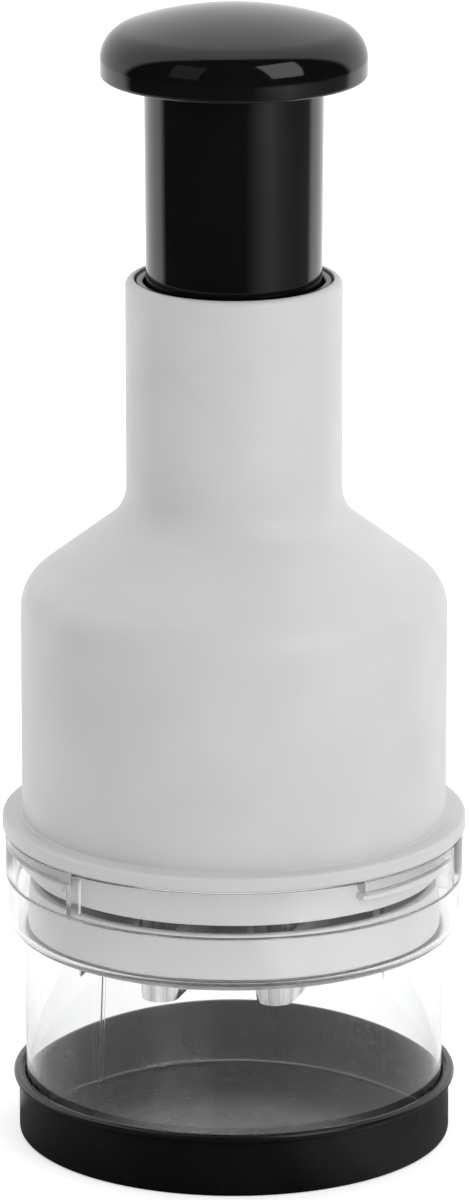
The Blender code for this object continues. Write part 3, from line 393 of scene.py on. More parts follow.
def object_of(name, shape):
    bmesh.ops.remove_doubles(shape, verts=shape.verts, dist=MERGE_DISTANCE)
    bmesh.ops.recalc_face_normals(shape, faces=shape.faces)
    mesh = bpy.data.meshes.new(name)
    shape.to_mesh(mesh)
    shape.free()
    smoothed(mesh)
    return linked(name, mesh)


def boolean(obj, tools, operation):
    """The object joined with, or cut by, tools that are then removed."""
    for tool in tools:
        step = obj.modifiers.new(operation.lower(), "BOOLEAN")
        step.operation = operation
        step.solver = "EXACT"
        step.object = tool
    bpy.context.view_layer.update()
    graph = bpy.context.evaluated_depsgraph_get()
    mesh = bpy.data.meshes.new_from_object(obj.evaluated_get(graph))
    obj.modifiers.clear()
    obj.data = mesh
    smoothed(mesh)
    for tool in tools:
        bpy.data.objects.remove(tool)


def turn_about_axis(shape, verts, angle):
    matrix = Matrix.Rotation(radians(angle), 3, "Z")
    bmesh.ops.rotate(shape, verts=verts, cent=(0, 0, 0), matrix=matrix)


def arc(centre_r, centre_z, radius, start, end, steps):
    """Points (r, z) of an arc between two angles in degrees."""
    turns = [radians(start + (end - start) * i / steps) for i in range(steps + 1)]
    return [(centre_r + radius * cos(t), centre_z + radius * sin(t)) for t in turns]


def fillet(before, corner, after, radius, steps):
    """Points of the arc that rounds a corner."""
    to_before = (Vector(before) - Vector(corner)).normalized()
    to_after = (Vector(after) - Vector(corner)).normalized()
    half = to_before.angle(to_after) / 2
    start = Vector(corner) + to_before * radius / tan(half)
    centre = Vector(corner) + (to_before + to_after).normalized() * radius / sin(half)
    sweep = pi - 2 * half
    side = 1 if to_before.cross(to_after) < 0 else -1
    arm = start - centre
    turns = [Matrix.Rotation(side * sweep * i / steps, 2) for i in range(steps + 1)]
    return [tuple(centre + turn @ arm) for turn in turns]


def outline(corners):
    """Points of an outline given as corners (r, z, radius)."""
    points = []
    for i, (r, z, radius) in enumerate(corners):
        before = corners[i - 1][:2]
        after = corners[(i + 1) % len(corners)][:2]
        steps = 2 * ROUND_STEPS if radius > LARGE_ROUND else ROUND_STEPS
        points += fillet(before, (r, z), after, radius, steps) if radius else [(r, z)]
    return points


def turned(name, points, steps=TURN_STEPS, sweep=360.0, start=0.0):
    """A closed (r, z) outline turned about the axis, all round or over one sector."""
    shape = bmesh.new()
    rim = [shape.verts.new((r, 0, z)) for r, z in points]
    face = shape.faces.new(rim)
    whole = sweep == 360.0
    turn_about_axis(shape, rim, start - 90)
    bmesh.ops.spin(
        shape,
        geom=list(face.edges) if whole else [face],
        cent=(0, 0, 0),
        axis=(0, 0, 1),
        angle=radians(sweep),
        steps=steps,
        use_merge=whole,
    )
    if whole:
        shape.faces.remove(face)
        bmesh.ops.remove_doubles(shape, verts=shape.verts, dist=MERGE_DISTANCE)
        loose = [edge for edge in shape.edges if edge.is_wire]
        bmesh.ops.delete(shape, geom=loose, context="EDGES")
    return object_of(name, shape)


def join_rings(shape, rings):
    """Faces between each ring of points and the next, and across the first and last."""
    for near, far in zip(rings, rings[1:]):
        for k in range(len(near)):
            shape.faces.new((near[k - 1], near[k], far[k], far[k - 1]))
    shape.faces.new(rings[0])
    shape.faces.new(rings[-1][::-1])


def strip(name, path, section, turn):
    """A strip that stands on a plan path, its section given as (side, z) points."""
    shape = bmesh.new()
    rings = []
    for i, point in enumerate(path):
        into = (point - path[i - 1]).normalized() if i else None
        onward = (path[i + 1] - point).normalized() if i + 1 < len(path) else None
        mitre = (into + onward).normalized() if into and onward else into or onward
        stretch = 1 / max(mitre.dot(into), MITRE_LIMIT) if into and onward else 1
        side = Vector((-mitre.y, mitre.x)) * stretch
        rings.append([shape.verts.new((*(point + side * s), z)) for s, z in section])
    join_rings(shape, rings)
    turn_about_axis(shape, shape.verts, turn)
    return object_of(name, shape)


def tube(name, points, radius, sides):
    """A round wire along points, its ends closed."""
    shape = bmesh.new()
    rings = []
    for i, point in enumerate(points):
        before, after = points[max(i - 1, 0)], points[min(i + 1, len(points) - 1)]
        onward = (after - before).normalized()
        out = Vector((point.x, point.y, 0)).normalized()
        out = (out - onward * out.dot(onward)).normalized()
        up = onward.cross(out)
        turns = [2 * pi * k / sides for k in range(sides)]
        rim = [point + (out * cos(t) + up * sin(t)) * radius for t in turns]
        rings.append([shape.verts.new(place) for place in rim])
    join_rings(shape, rings)
    return object_of(name, shape)


def around(radius, angle):
    """A place on a circle, its angle in degrees from +X."""
    return radius * cos(radians(angle)), radius * sin(radians(angle))


def arc_block(name, inner, outer, stations, edge):
    """A block along an arc, from stations of (angle in degrees from the front, low, high)."""
    shape = bmesh.new()
    rings = []
    for angle, low, high in stations:
        soft = min(edge, (high - low) / 3)
        corners = [(inner, low, 0), (outer, low, soft), (outer, high, soft), (inner, high, 0)]
        rim = [(*around(r, angle - 90), z) for r, z in outline(corners)]
        rings.append([shape.verts.new(place) for place in rim])
    join_rings(shape, rings)
    return object_of(name, shape)


def wedge(first, last, first_low, last_low, high, rounds):
    """Stations of a ridge between two angles, with rounded ends and a sloping underside."""
    turns = [radians(90 * k / ROUND_STEPS) for k in range(ROUND_STEPS + 1)]
    reach = [degrees(size / SKIRT_RADIUS) for size in rounds]
    stations = []
    for t in turns:
        inset = rounds[0] * (1 - sin(t))
        stations.append((first + reach[0] * (1 - cos(t)), first_low + inset, high - inset))
    start = stations[-1][0]
    end = last - reach[1]
    for k in range(1, ARC_STEPS):
        share = k / ARC_STEPS
        low = first_low + (last_low - first_low) * share
        stations.append((start + (end - start) * share, low, high))
    for t in turns[::-1]:
        inset = rounds[1] * (1 - sin(t))
        stations.append((last - reach[1] * (1 - cos(t)), last_low + inset, high - inset))
    return stations


def bar(name, radius, low, high, place):
    """An upright round bar at a plan place."""
    shape = bmesh.new()
    bmesh.ops.create_cone(
        shape,
        cap_ends=True,
        segments=BAR_SIDES,
        radius1=radius,
        radius2=radius,
        depth=high - low,
    )
    bmesh.ops.translate(shape, verts=shape.verts, vec=(*place, (low + high) / 2))
    return object_of(name, shape)


def block(name, low, high, turn):
    """A box between two corners, turned about the axis."""
    shape = bmesh.new()
    bmesh.ops.create_cube(shape, size=1.0)
    bmesh.ops.scale(shape, verts=shape.verts, vec=Vector(high) - Vector(low))
    bmesh.ops.translate(shape, verts=shape.verts, vec=(Vector(low) + Vector(high)) / 2)
    turn_about_axis(shape, shape.verts, turn)
    return object_of(name, shape)


# Pieces


def base_cup():
    points = outline(
        [
            (0, 0, 0),
            (CUP_RADIUS, 0, CUP_FOOT_FILLET),
            (CUP_RADIUS, CUP_LIP_LOW, 0),
            (CUP_LIP_RADIUS, CUP_LIP_LOW, CUP_LIP_ROUND),
            (CUP_LIP_RADIUS, CUP_HEIGHT, CUP_LIP_ROUND),
            (CUP_BORE + CUP_MOUTH_CHAMFER, CUP_HEIGHT, CUP_MOUTH_ROUND),
            (CUP_BORE, CUP_HEIGHT - CUP_MOUTH_CHAMFER, CUP_MOUTH_ROUND),
            (CUP_BORE, CUP_FLOOR, CUP_INNER_FILLET),
            (0, CUP_FLOOR, 0),
        ]
    )
    return turned("cup_moulding", points)


def chamber():
    waist = COLLAR_RADIUS - COLLAR_STEP
    points = outline(
        [
            (CHAMBER_RADIUS, CHAMBER_FOOT, SMALL_ROUND),
            (CHAMBER_RADIUS, LEDGE_LOW, SMALL_ROUND),
            (waist, LEDGE_LOW, LEDGE_ROUND),
            (waist, COLLAR_STEP_LOW, COLLAR_STEP_ROUND),
            (COLLAR_RADIUS, COLLAR_STEP_TOP, COLLAR_STEP_ROUND),
            (COLLAR_RADIUS, COLLAR_TOP, COLLAR_LIP_ROUND),
            (COLLAR_BORE, COLLAR_TOP, COLLAR_INNER_ROUND),
            (COLLAR_BORE, COLLAR_STEP_TOP, COLLAR_INNER_ROUND),
            (COLLAR_BORE - COLLAR_STEP, COLLAR_STEP_LOW, COLLAR_INNER_ROUND),
            (COLLAR_BORE - COLLAR_STEP, LEDGE_TOP, LEDGE_INNER_ROUND),
            (CHAMBER_BORE, LEDGE_TOP, SMALL_ROUND),
            (CHAMBER_BORE, CHAMBER_FOOT, CHAMBER_FOOT_ROUND),
        ]
    )
    obj = turned("chamber_moulding", points)
    tools = []
    inner = SKIRT_RADIUS + RUNNING_GAP
    outer = COLLAR_BORE + OVERLAP
    low = LUG_TOP + RAMP_PLAY
    for i in range(LUG_COUNT):
        first = LUG_MIDDLE_ANGLE - LUG_ANGLE / 2 + i * 360 / LUG_COUNT
        last = first + LUG_ANGLE + STOP_PLAY_ANGLE
        stations = wedge(first, last, low, low, low + RAMP_THICKNESS, RAMP_END_ROUNDS)
        tools.append(arc_block("ramp", outer, inner, stations, RAMP_ROUND))
        ends = (last - STOP_ANGLE / 2, last + STOP_ANGLE / 2)
        stations = [(angle, STOP_LOW, STOP_TOP) for angle in ends]
        tools.append(arc_block("stop", outer, inner, stations, RAMP_ROUND))
    rib_low = (CHAMBER_BORE - RIB_DEPTH, -RIB_WIDTH / 2, CHAMBER_FOOT + SMALL_ROUND)
    rib_high = (CHAMBER_BORE + OVERLAP, RIB_WIDTH / 2, LEDGE_LOW)
    tools.append(block("rib", rib_low, rib_high, RIB_ANGLE))
    boolean(obj, tools, "UNION")
    return obj


def shoulder_height(radius, inset=0.0):
    """Height of the shoulder's cone, or of a face inset from it."""
    slope = radians(SHOULDER_SLOPE)
    return SHOULDER_TOP - (radius - NECK_RADIUS) * tan(slope) - inset / cos(slope)


def housing():
    bore = BODY_RADIUS - HOUSING_WALL
    neck_foot = shoulder_height(NECK_BORE, HOUSING_WALL)
    shoulder_foot = shoulder_height(bore, HOUSING_WALL)
    points = outline(
        [
            (SKIRT_RADIUS, SKIRT_LOW, SMALL_ROUND),
            (SKIRT_RADIUS, FLANGE_LOW, SKIRT_FILLET),
            (FLANGE_RADIUS, FLANGE_LOW, FLANGE_ROUND),
            (FLANGE_RADIUS, FLANGE_TOP, FLANGE_ROUND),
            (BODY_RADIUS, FLANGE_TOP, SMALL_ROUND),
            (BODY_RADIUS, shoulder_height(BODY_RADIUS), SHOULDER_ROUND),
            (NECK_RADIUS, SHOULDER_TOP, NECK_FILLET),
            (NECK_RADIUS, NECK_TOP, NECK_LIP_ROUND),
            (NECK_MOUTH, NECK_TOP, NECK_MOUTH_ROUND),
            (NECK_MOUTH, BUSH_SEAT, 0),
            (NECK_BORE, BUSH_SEAT, 0),
            (NECK_BORE, neck_foot, NECK_FILLET - HOUSING_WALL),
            (bore, shoulder_foot, SHOULDER_ROUND - HOUSING_WALL),
            (bore, FLANGE_TOP, 0),
            (SKIRT_BORE, FLANGE_LOW, 0),
            (SKIRT_BORE, SKIRT_LOW, SMALL_ROUND),
        ]
    )
    obj = turned("housing_moulding", points)
    tools, holes = [], []
    inner = SKIRT_RADIUS - HOUSING_WALL / 2
    outer = COLLAR_BORE - RUNNING_GAP - RUNNING_GAP
    low = LUG_TOP - LUG_THICKNESS
    boss_top = shoulder_height(BOSS_PLACE + BOSS_RADIUS, HOUSING_WALL / 2)
    web_top = shoulder_height(bore, HOUSING_WALL / 2) - SHOULDER_ROUND
    for i in range(LUG_COUNT):
        first = LUG_MIDDLE_ANGLE - LUG_ANGLE / 2 + i * 360 / LUG_COUNT
        stations = wedge(first, first + LUG_ANGLE, low + LUG_TAPER, low, LUG_TOP, LUG_END_ROUNDS)
        tools.append(arc_block("lug", inner, outer, stations, LUG_ROUND))
        angle = 90 + i * 360 / LUG_COUNT
        place = around(BOSS_PLACE, angle)
        web_low = (BOSS_PLACE, -BOSS_WEB / 2, BOSS_LOW)
        web_high = (bore + HOUSING_WALL / 2, BOSS_WEB / 2, web_top)
        tools.append(block("boss_web", web_low, web_high, angle))
        tools.append(bar("boss", BOSS_RADIUS, BOSS_LOW, boss_top, place))
        holes.append(bar("boss_hole", SCREW_BORE, BOSS_LOW - OVERRUN, BOSS_HOLE_TOP, place))
    boolean(obj, tools, "UNION")
    boolean(obj, holes, "DIFFERENCE")
    return obj


def guide_ring():
    points = outline(
        [
            (NECK_MOUTH - SEAT_GAP, BUSH_LOW, 0),
            (NECK_MOUTH - SEAT_GAP, BUSH_TOP, SMALL_ROUND),
            (BUSH_BORE + BUSH_CHAMFER, BUSH_TOP, BUSH_EDGE_ROUND),
            (BUSH_BORE, BUSH_TOP - BUSH_CHAMFER, BUSH_EDGE_ROUND),
            (BUSH_BORE, BUSH_LOW, 0),
        ]
    )
    return turned("guide_ring", points)


def knob_under(radius):
    """Height of the crown's underside."""
    inner = KNOB_CROWN_RADIUS - KNOB_WALL
    return KNOB_TOP - KNOB_CROWN_RADIUS + sqrt(inner * inner - radius * radius)


def crown(inset, lowest, steps):
    """The knob's outline from the top to its lowest point, inset from the skin."""
    big = KNOB_CROWN_RADIUS - inset
    small = KNOB_CORNER_RADIUS - inset
    across = KNOB_RADIUS - KNOB_CORNER_RADIUS
    centre = KNOB_TOP - KNOB_CROWN_RADIUS
    up = sqrt((KNOB_CROWN_RADIUS - KNOB_CORNER_RADIUS) ** 2 - across**2)
    turn = degrees(atan2(up, across))
    points = arc(0, centre, big, 90, turn, steps)
    points += arc(across, centre + up, small, turn, 0, steps)[1:]
    return [(0, centre + big)] + points[1:] + [(across + small, lowest)]


def knob():
    socket_in = PLUNGER_RADIUS + SEAT_GAP
    socket_out = socket_in + SOCKET_WALL
    rim_r, rim_z = KNOB_RADIUS - KNOB_RIM_ROUND, KNOB_LOW + KNOB_RIM_ROUND
    rim = arc(rim_r, rim_z, KNOB_RIM_ROUND, 0, -90, ROUND_STEPS)
    inside = crown(KNOB_WALL, KNOB_LOW, KNOB_INNER_STEPS)
    inside = [point for point in inside if point[0] > socket_out]
    socket_low = KNOB_LOW + SOCKET_RECESS
    socket = [
        (socket_out, knob_under(socket_out)),
        (socket_out, socket_low),
        (socket_in, socket_low),
        (socket_in, knob_under(socket_in)),
        (0, knob_under(0)),
    ]
    points = crown(0, rim_z, KNOB_STEPS) + rim[1:] + inside[::-1] + socket
    obj = turned("knob_moulding", points)
    tools, holes = [], []
    low = WEB_TOP + SEAT_GAP
    high = knob_under(KNOB_BOSS_PLACE) + KNOB_WALL / 2
    for side in (-1, 1):
        place = (side * KNOB_BOSS_PLACE, 0)
        tools.append(bar("boss", KNOB_BOSS_RADIUS, low, high, place))
        holes.append(bar("hole", SCREW_BORE, low - OVERRUN, KNOB_HOLE_TOP, place))
    rib_in = socket_in + SOCKET_WALL / 2
    rib_low = KNOB_LOW + KNOB_RIB_RECESS
    middle = KNOB_CROWN_RADIUS - KNOB_WALL / 2
    rib_top = KNOB_TOP - KNOB_CROWN_RADIUS + sqrt(middle * middle - rib_in * rib_in)
    skin = crown(KNOB_WALL / 2, rib_low, KNOB_INNER_STEPS)
    rib = [(rib_in, rib_low), (rib_in, rib_top)] + [point for point in skin if point[0] > rib_in]
    for i in range(KNOB_RIB_COUNT):
        start = i * 360 / KNOB_RIB_COUNT - KNOB_RIB_ANGLE / 2
        tools.append(turned("rib", rib, KNOB_RIB_STEPS, sweep=KNOB_RIB_ANGLE, start=start))
    boolean(obj, tools, "UNION")
    boolean(obj, holes, "DIFFERENCE")
    return obj


def plunger():
    top = knob_under(PLUNGER_RADIUS) - SEAT_GAP
    points = outline(
        [
            (PLUNGER_LOW_RADIUS, PLUNGER_LOW, SMALL_ROUND),
            (PLUNGER_RADIUS, KNOB_LOW, 0),
            (PLUNGER_RADIUS, top, 0),
            (PLUNGER_BORE, top, 0),
            (PLUNGER_BORE, WEB_TOP, 0),
            (WEB_HOLE, WEB_TOP, 0),
            (WEB_HOLE, WEB_LOW, 0),
            (PLUNGER_BORE, WEB_LOW, 0),
            (PLUNGER_BORE, PLUNGER_LOW, 0),
        ]
    )
    obj = turned("plunger_moulding", points)
    keys = []
    for i in range(KEY_COUNT):
        low = (KEY_INNER, -KEY_WIDTH / 2, PLUNGER_LOW + SMALL_ROUND)
        high = (PLUNGER_BORE + KEY_OVERLAP, KEY_WIDTH / 2, PLUNGER_LOW + KEY_HEIGHT)
        keys.append(block("key", low, high, KEY_START_ANGLE + i * 360 / KEY_COUNT))
    low, high = WEB_LOW - OVERRUN, WEB_TOP + OVERRUN
    places = [(side * KNOB_BOSS_PLACE, 0) for side in (-1, 1)]
    holes = [bar("hole", SCREW_BORE, low, high, place) for place in places]
    boolean(obj, keys, "UNION")
    boolean(obj, holes, "DIFFERENCE")
    return obj


def bend(centre, radius, start, end):
    """Plan points of a bend between two angles in degrees."""
    return [Vector(point) for point in arc(*centre, radius, start, end, BEND_STEPS)]


def inner_bend(leg_point, next_leg):
    """Centre and radius of the bend by the middle, from a slanted leg to a straight one."""
    along = Vector((sin(radians(LEG_SLANT)), cos(radians(LEG_SLANT))))
    reach = (next_leg - leg_point.x) * along.y + (BEND_TO_MIDDLE + leg_point.y) * along.x
    radius = reach / (1 + along.y - along.x)
    return Vector((next_leg - radius, -BEND_TO_MIDDLE - radius)), radius


def on_circle(x, radius):
    """The front place on a circle with this x."""
    return Vector((x, -sqrt(radius**2 - x**2)))


def blade_plan():
    """A blade's two ends, the centres of its outer bends, and its inner bends."""
    start = on_circle(BLADE_START_PLACE, BLADE_END_RADIUS)
    end = on_circle(BLADE_END_PLACE, BLADE_END_RADIUS)
    outer = [on_circle(x, BLADE_RADIUS - OUTER_BEND_RADIUS) for x in OUTER_BEND_PLACES]
    off_leg = Vector((cos(radians(LEG_SLANT)), -sin(radians(LEG_SLANT))))
    leg_points = [start] + [centre + off_leg * OUTER_BEND_RADIUS for centre in outer]
    next_legs = [centre.x - OUTER_BEND_RADIUS for centre in outer] + [BLADE_END_PLACE]
    inner = [inner_bend(point, leg) for point, leg in zip(leg_points, next_legs)]
    return start, end, outer, inner


def blade_path():
    start, end, outer, inner = blade_plan()
    path = [start]
    for i, (centre, radius) in enumerate(inner):
        path += bend(centre, radius, 180 - LEG_SLANT, 0)
        if i < len(outer):
            path += bend(outer[i], OUTER_BEND_RADIUS, 180, 360 - LEG_SLANT)
    return path + [end]


def extended(path, length):
    first = path[0] + (path[0] - path[1]).normalized() * length
    last = path[-1] + (path[-1] - path[-2]).normalized() * length
    return [first] + path[1:-1] + [last]


def upright(thickness, low, high):
    half = thickness / 2
    return [(-half, low), (half, low), (half, high), (-half, high)]


def blade(name, turn):
    half = BLADE_THICKNESS / 2
    edge = BLADE_EDGE / 2
    bevel = BLADE_LOW + BLADE_BEVEL
    section = [(-edge, BLADE_LOW), (edge, BLADE_LOW), (half, bevel), (half, BLADE_TOP)]
    section += [(-half, BLADE_TOP), (-half, bevel)]
    return strip(name, blade_path(), section, turn)


def tongue_paths():
    """Plan paths of the basket's walls, which follow the inside of the blade's inner bends."""
    offset = (SLOT_WIDTH + TONGUE_WALL) / 2 + TONGUE_WALL_SETBACK
    reach = BASKET_RADIUS - TONGUE_WALL_INSET
    along = Vector((sin(radians(LEG_SLANT)), cos(radians(LEG_SLANT))))
    for centre, radius in blade_plan()[-1]:
        points = bend(centre, radius - offset, 180 - LEG_SLANT, 0)
        first = to_circle(points[0], -along, reach)
        last = to_circle(points[-1], Vector((0, -1)), reach)
        yield [first] + points + [last]


def to_circle(point, direction, radius):
    """Where a line from a point inside a circle meets it."""
    half = point.dot(direction)
    return point + direction * (sqrt(half * half - point.dot(point) + radius * radius) - half)


def basket():
    floor_top = BASKET_LOW + BASKET_FLOOR
    points = outline(
        [
            (0, BASKET_LOW, 0),
            (BASKET_RADIUS, BASKET_LOW, SMALL_ROUND),
            (BASKET_RADIUS, BASKET_TOP, SMALL_ROUND),
            (BASKET_BORE, BASKET_TOP, BASKET_RIM_ROUND),
            (BASKET_BORE, floor_top, BASKET_FLOOR_FILLET),
            (0, floor_top, 0),
        ]
    )
    obj = turned("basket_moulding", points)
    walls, slots = [], []
    for turn in (0, 180):
        section = upright(TONGUE_WALL, floor_top - BASKET_FLOOR / 2, TONGUE_WALL_TOP)
        walls += [strip("wall", path, section, turn) for path in tongue_paths()]
        section = upright(SLOT_WIDTH, BASKET_LOW - OVERRUN, TONGUE_WALL_TOP + OVERRUN)
        slots.append(strip("slot", extended(blade_path(), RUNNING_GAP), section, turn))
    boolean(obj, walls, "UNION")
    boolean(obj, slots, "DIFFERENCE")
    return obj


def spring():
    low = SPRING_LOW + SPRING_WIRE / 2
    live_curls = SPRING_CURLS - 2
    live_pitch = (SPRING_TOP - SPRING_LOW - SPRING_WIRE - 2 * SPRING_END_PITCH) / live_curls
    points = []
    for i in range(SPRING_CURLS * CURL_STEPS + 1):
        turn = i / CURL_STEPS
        ends = min(turn, 1) + max(turn - SPRING_CURLS + 1, 0)
        live = min(max(turn - 1, 0), live_curls)
        height = low + ends * SPRING_END_PITCH + live * live_pitch
        angle = 2 * pi * turn
        points.append(Vector((SPRING_RADIUS * cos(angle), SPRING_RADIUS * sin(angle), height)))
    return tube("spring_coil", points, SPRING_WIRE / 2, WIRE_SIDES)


# Finishes


def new_material(name):
    made = bpy.data.materials.new(name)
    made.use_nodes = True
    return made, made.node_tree.nodes, made.node_tree.links


def math_node(nodes, links, operation, *values):
    made = nodes.new("ShaderNodeMath")
    made.operation = operation
    for socket, value in zip(made.inputs, values):
        if isinstance(value, (int, float)):
            socket.default_value = value
        else:
            links.new(value, socket)
    return made.outputs[0]


def vector_node(nodes, links, operation, value):
    made = nodes.new("ShaderNodeVectorMath")
    made.operation = operation
    links.new(value, made.inputs[0])
    return made


def spread(nodes, links, value, start, end, low, high):
    """A value from start to end, spread from low to high."""
    made = nodes.new("ShaderNodeMapRange")
    names = ("From Min", "From Max", "To Min", "To Max")
    for name, number in zip(names, (start, end, low, high)):
        made.inputs[name].default_value = number
    links.new(value, made.inputs["Value"])
    return made.outputs["Result"]


def object_place(nodes):
    return nodes.new("ShaderNodeTexCoord").outputs["Object"]


def noise(nodes, links, place, scale, detail, stretch=(1, 1, 1)):
    """A noise texture, with its scale in features per metre."""
    mapping = nodes.new("ShaderNodeMapping")
    mapping.inputs["Scale"].default_value = stretch
    links.new(place, mapping.inputs["Vector"])
    texture = nodes.new("ShaderNodeTexNoise")
    texture.inputs["Scale"].default_value = scale
    texture.inputs["Detail"].default_value = detail
    links.new(mapping.outputs["Vector"], texture.inputs["Vector"])
    return texture.outputs["Fac"]


def tinted(nodes, links, value, dark, light):
    node = nodes.new("ShaderNodeValToRGB")
    for end, position, tone in zip(node.color_ramp.elements, TONE_NOISE, (dark, light)):
        end.position = position
        end.color = (*tone, 1)
    links.new(value, node.inputs["Fac"])
    return node.outputs["Color"]


def bumped(nodes, links, height, distance, under=None):
    bump = nodes.new("ShaderNodeBump")
    bump.inputs["Distance"].default_value = distance
    bump.inputs["Strength"].default_value = 1.0
    links.new(height, bump.inputs["Height"])
    if under:
        links.new(under, bump.inputs["Normal"])
    return bump.outputs["Normal"]


def moulded(name, dark, light, rough, grain, grain_depth):
    """Moulded plastic: faint tone drift, uneven gloss, a slight swell and a fine grain."""
    made, nodes, links = new_material(name)
    shader = nodes["Principled BSDF"]
    place = object_place(nodes)
    drift = noise(nodes, links, place, TONE_SCALE, 2)
    links.new(tinted(nodes, links, drift, dark, light), shader.inputs["Base Color"])
    haze = noise(nodes, links, place, HAZE_SCALE, 4)
    links.new(spread(nodes, links, haze, *ROUGH_NOISE, *rough), shader.inputs["Roughness"])
    fine = noise(nodes, links, place, grain, 2)
    swell = noise(nodes, links, place, SWELL_SCALE, 1)
    under = bumped(nodes, links, swell, SWELL_DEPTH)
    links.new(bumped(nodes, links, fine, grain_depth, under), shader.inputs["Normal"])
    return made


def drawn_metal(name, dark, light, rough, stretch):
    """Metal with brush or drawing lines and fine pits."""
    made, nodes, links = new_material(name)
    shader = nodes["Principled BSDF"]
    shader.inputs["Metallic"].default_value = 1.0
    place = object_place(nodes)
    lines = noise(nodes, links, place, LINE_SCALE, 3, stretch)
    links.new(tinted(nodes, links, lines, dark, light), shader.inputs["Base Color"])
    links.new(spread(nodes, links, lines, *ROUGH_NOISE, *rough), shader.inputs["Roughness"])
    pits = noise(nodes, links, place, PIT_SCALE, 2)
    under = bumped(nodes, links, lines, LINE_DEPTH)
    links.new(bumped(nodes, links, pits, PIT_DEPTH, under), shader.inputs["Normal"])
    return made


def frost(nodes, links, place):
    """Roughness of the clear plastic's ledge, of its rib's edges and of the bayonet."""
    split = nodes.new("ShaderNodeSeparateXYZ")
    links.new(place, split.inputs[0])
    plan = nodes.new("ShaderNodeCombineXYZ")
    links.new(split.outputs["X"], plan.inputs["X"])
    links.new(split.outputs["Y"], plan.inputs["Y"])
    height = split.outputs["Z"]

    off_ledge = math_node(nodes, links, "SUBTRACT", height, (LEDGE_LOW + LEDGE_TOP) / 2)
    off_ledge = math_node(nodes, links, "ABSOLUTE", off_ledge)
    ledge = spread(nodes, links, off_ledge, *LEDGE_FROST_END, FROST_ROUGHNESS, 0.0)

    rib_node = vector_node(nodes, links, "DISTANCE", plan.outputs[0])
    rib_node.inputs[1].default_value = (*around(CHAMBER_BORE - RIB_DEPTH, RIB_ANGLE), 0)
    off_rib = rib_node.outputs["Value"]
    start = spread(nodes, links, off_rib, *RIB_FROST_START, 0.0, FROST_ROUGHNESS)
    end = spread(nodes, links, off_rib, *RIB_FROST_END, FROST_ROUGHNESS, 0.0)
    rib = math_node(nodes, links, "MINIMUM", start, end)

    radius = vector_node(nodes, links, "LENGTH", plan.outputs[0]).outputs["Value"]
    off_bore = math_node(nodes, links, "SUBTRACT", COLLAR_BORE, radius)
    inside = spread(nodes, links, off_bore, *BAYONET_FROST_START, 0.0, BAYONET_ROUGHNESS)
    step = (COLLAR_STEP_LOW, COLLAR_STEP_TOP)
    above = spread(nodes, links, height, *step, 0.0, BAYONET_ROUGHNESS)
    bayonet = math_node(nodes, links, "MINIMUM", inside, above)

    ledge_or_rib = math_node(nodes, links, "MAXIMUM", ledge, rib)
    return math_node(nodes, links, "MAXIMUM", ledge_or_rib, bayonet)


def clear_plastic():
    """Clear moulded plastic, wavy, scuffed and partly frosted.

    The lamps shine straight through it on what is inside.
    """
    made, nodes, links = new_material("clear_polished")
    shader = nodes["Principled BSDF"]
    shader.inputs["Base Color"].default_value = (*CLEAR_TONE, 1)
    shader.inputs["Transmission Weight"].default_value = 1.0
    shader.inputs["IOR"].default_value = CLEAR_IOR
    place = object_place(nodes)
    scuffs = noise(nodes, links, place, SCUFF_SCALE, 2, SCUFF_STRETCH)
    scuffed = spread(nodes, links, scuffs, *SCUFF_NOISE, 0.0, SCUFF_ROUGHNESS)
    rough = math_node(nodes, links, "MAXIMUM", scuffed, frost(nodes, links, place))
    links.new(rough, shader.inputs["Roughness"])
    waves = noise(nodes, links, place, CLEAR_WAVE_SCALE, 1)
    links.new(bumped(nodes, links, waves, CLEAR_WAVE_DEPTH), shader.inputs["Normal"])
    open_to_lamps = nodes.new("ShaderNodeBsdfTransparent")
    open_to_lamps.inputs["Color"].default_value = (LAMP_SHARE, LAMP_SHARE, LAMP_SHARE, 1)
    either = nodes.new("ShaderNodeMixShader")
    links.new(nodes.new("ShaderNodeLightPath").outputs["Is Shadow Ray"], either.inputs["Fac"])
    links.new(shader.outputs["BSDF"], either.inputs[1])
    links.new(open_to_lamps.outputs["BSDF"], either.inputs[2])
    links.new(either.outputs["Shader"], nodes["Material Output"].inputs["Surface"])
    depth_tint = nodes.new("ShaderNodeVolumeAbsorption")
    depth_tint.inputs["Color"].default_value = (0, 0, 0, 1)
    depth_tint.inputs["Density"].default_value = CLEAR_ABSORPTION
    links.new(depth_tint.outputs["Volume"], nodes["Material Output"].inputs["Volume"])
    return made


def finishes():
    """A material for each material slot of the record."""
    made = {slot: moulded(*row) for slot, row in MOULDED.items()}
    made |= {slot: drawn_metal(*row) for slot, row in METAL.items()}
    made["clear"] = clear_plastic()
    return made


# Dressing the frame


def dress(finish):
    """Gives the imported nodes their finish, and the bodies their fine pieces."""
    slots = {row["node"]: row["material_slot"] for row in frame["record"]["subparts"]}
    for name, node in frame["nodes"].items():
        node.data.materials.clear()
        node.data.materials.append(finish[slots[name]])
    made = [
        (knob(), "plunger", "knob"),
        (plunger(), "plunger", "plunger_tube"),
        (guide_ring(), "housing", "neck_bush"),
        (housing(), "housing", "housing_shell"),
        (chamber(), "chamber", "chopping_chamber"),
        (basket(), "basket", "scraper_basket"),
        (blade("blade_front", 0), "rotor", "front_blade"),
        (blade("blade_rear", 180), "rotor", "rear_blade"),
        (base_cup(), "base", "base_cup"),
        (spring(), "housing", "return_spring"),
    ]
    for obj, body, node in made:
        obj.data.materials.clear()
        obj.data.materials.append(finish[slots[node]])
        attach(obj, body)
        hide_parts(node)
        if node == "return_spring":
            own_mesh(obj)


# Studio


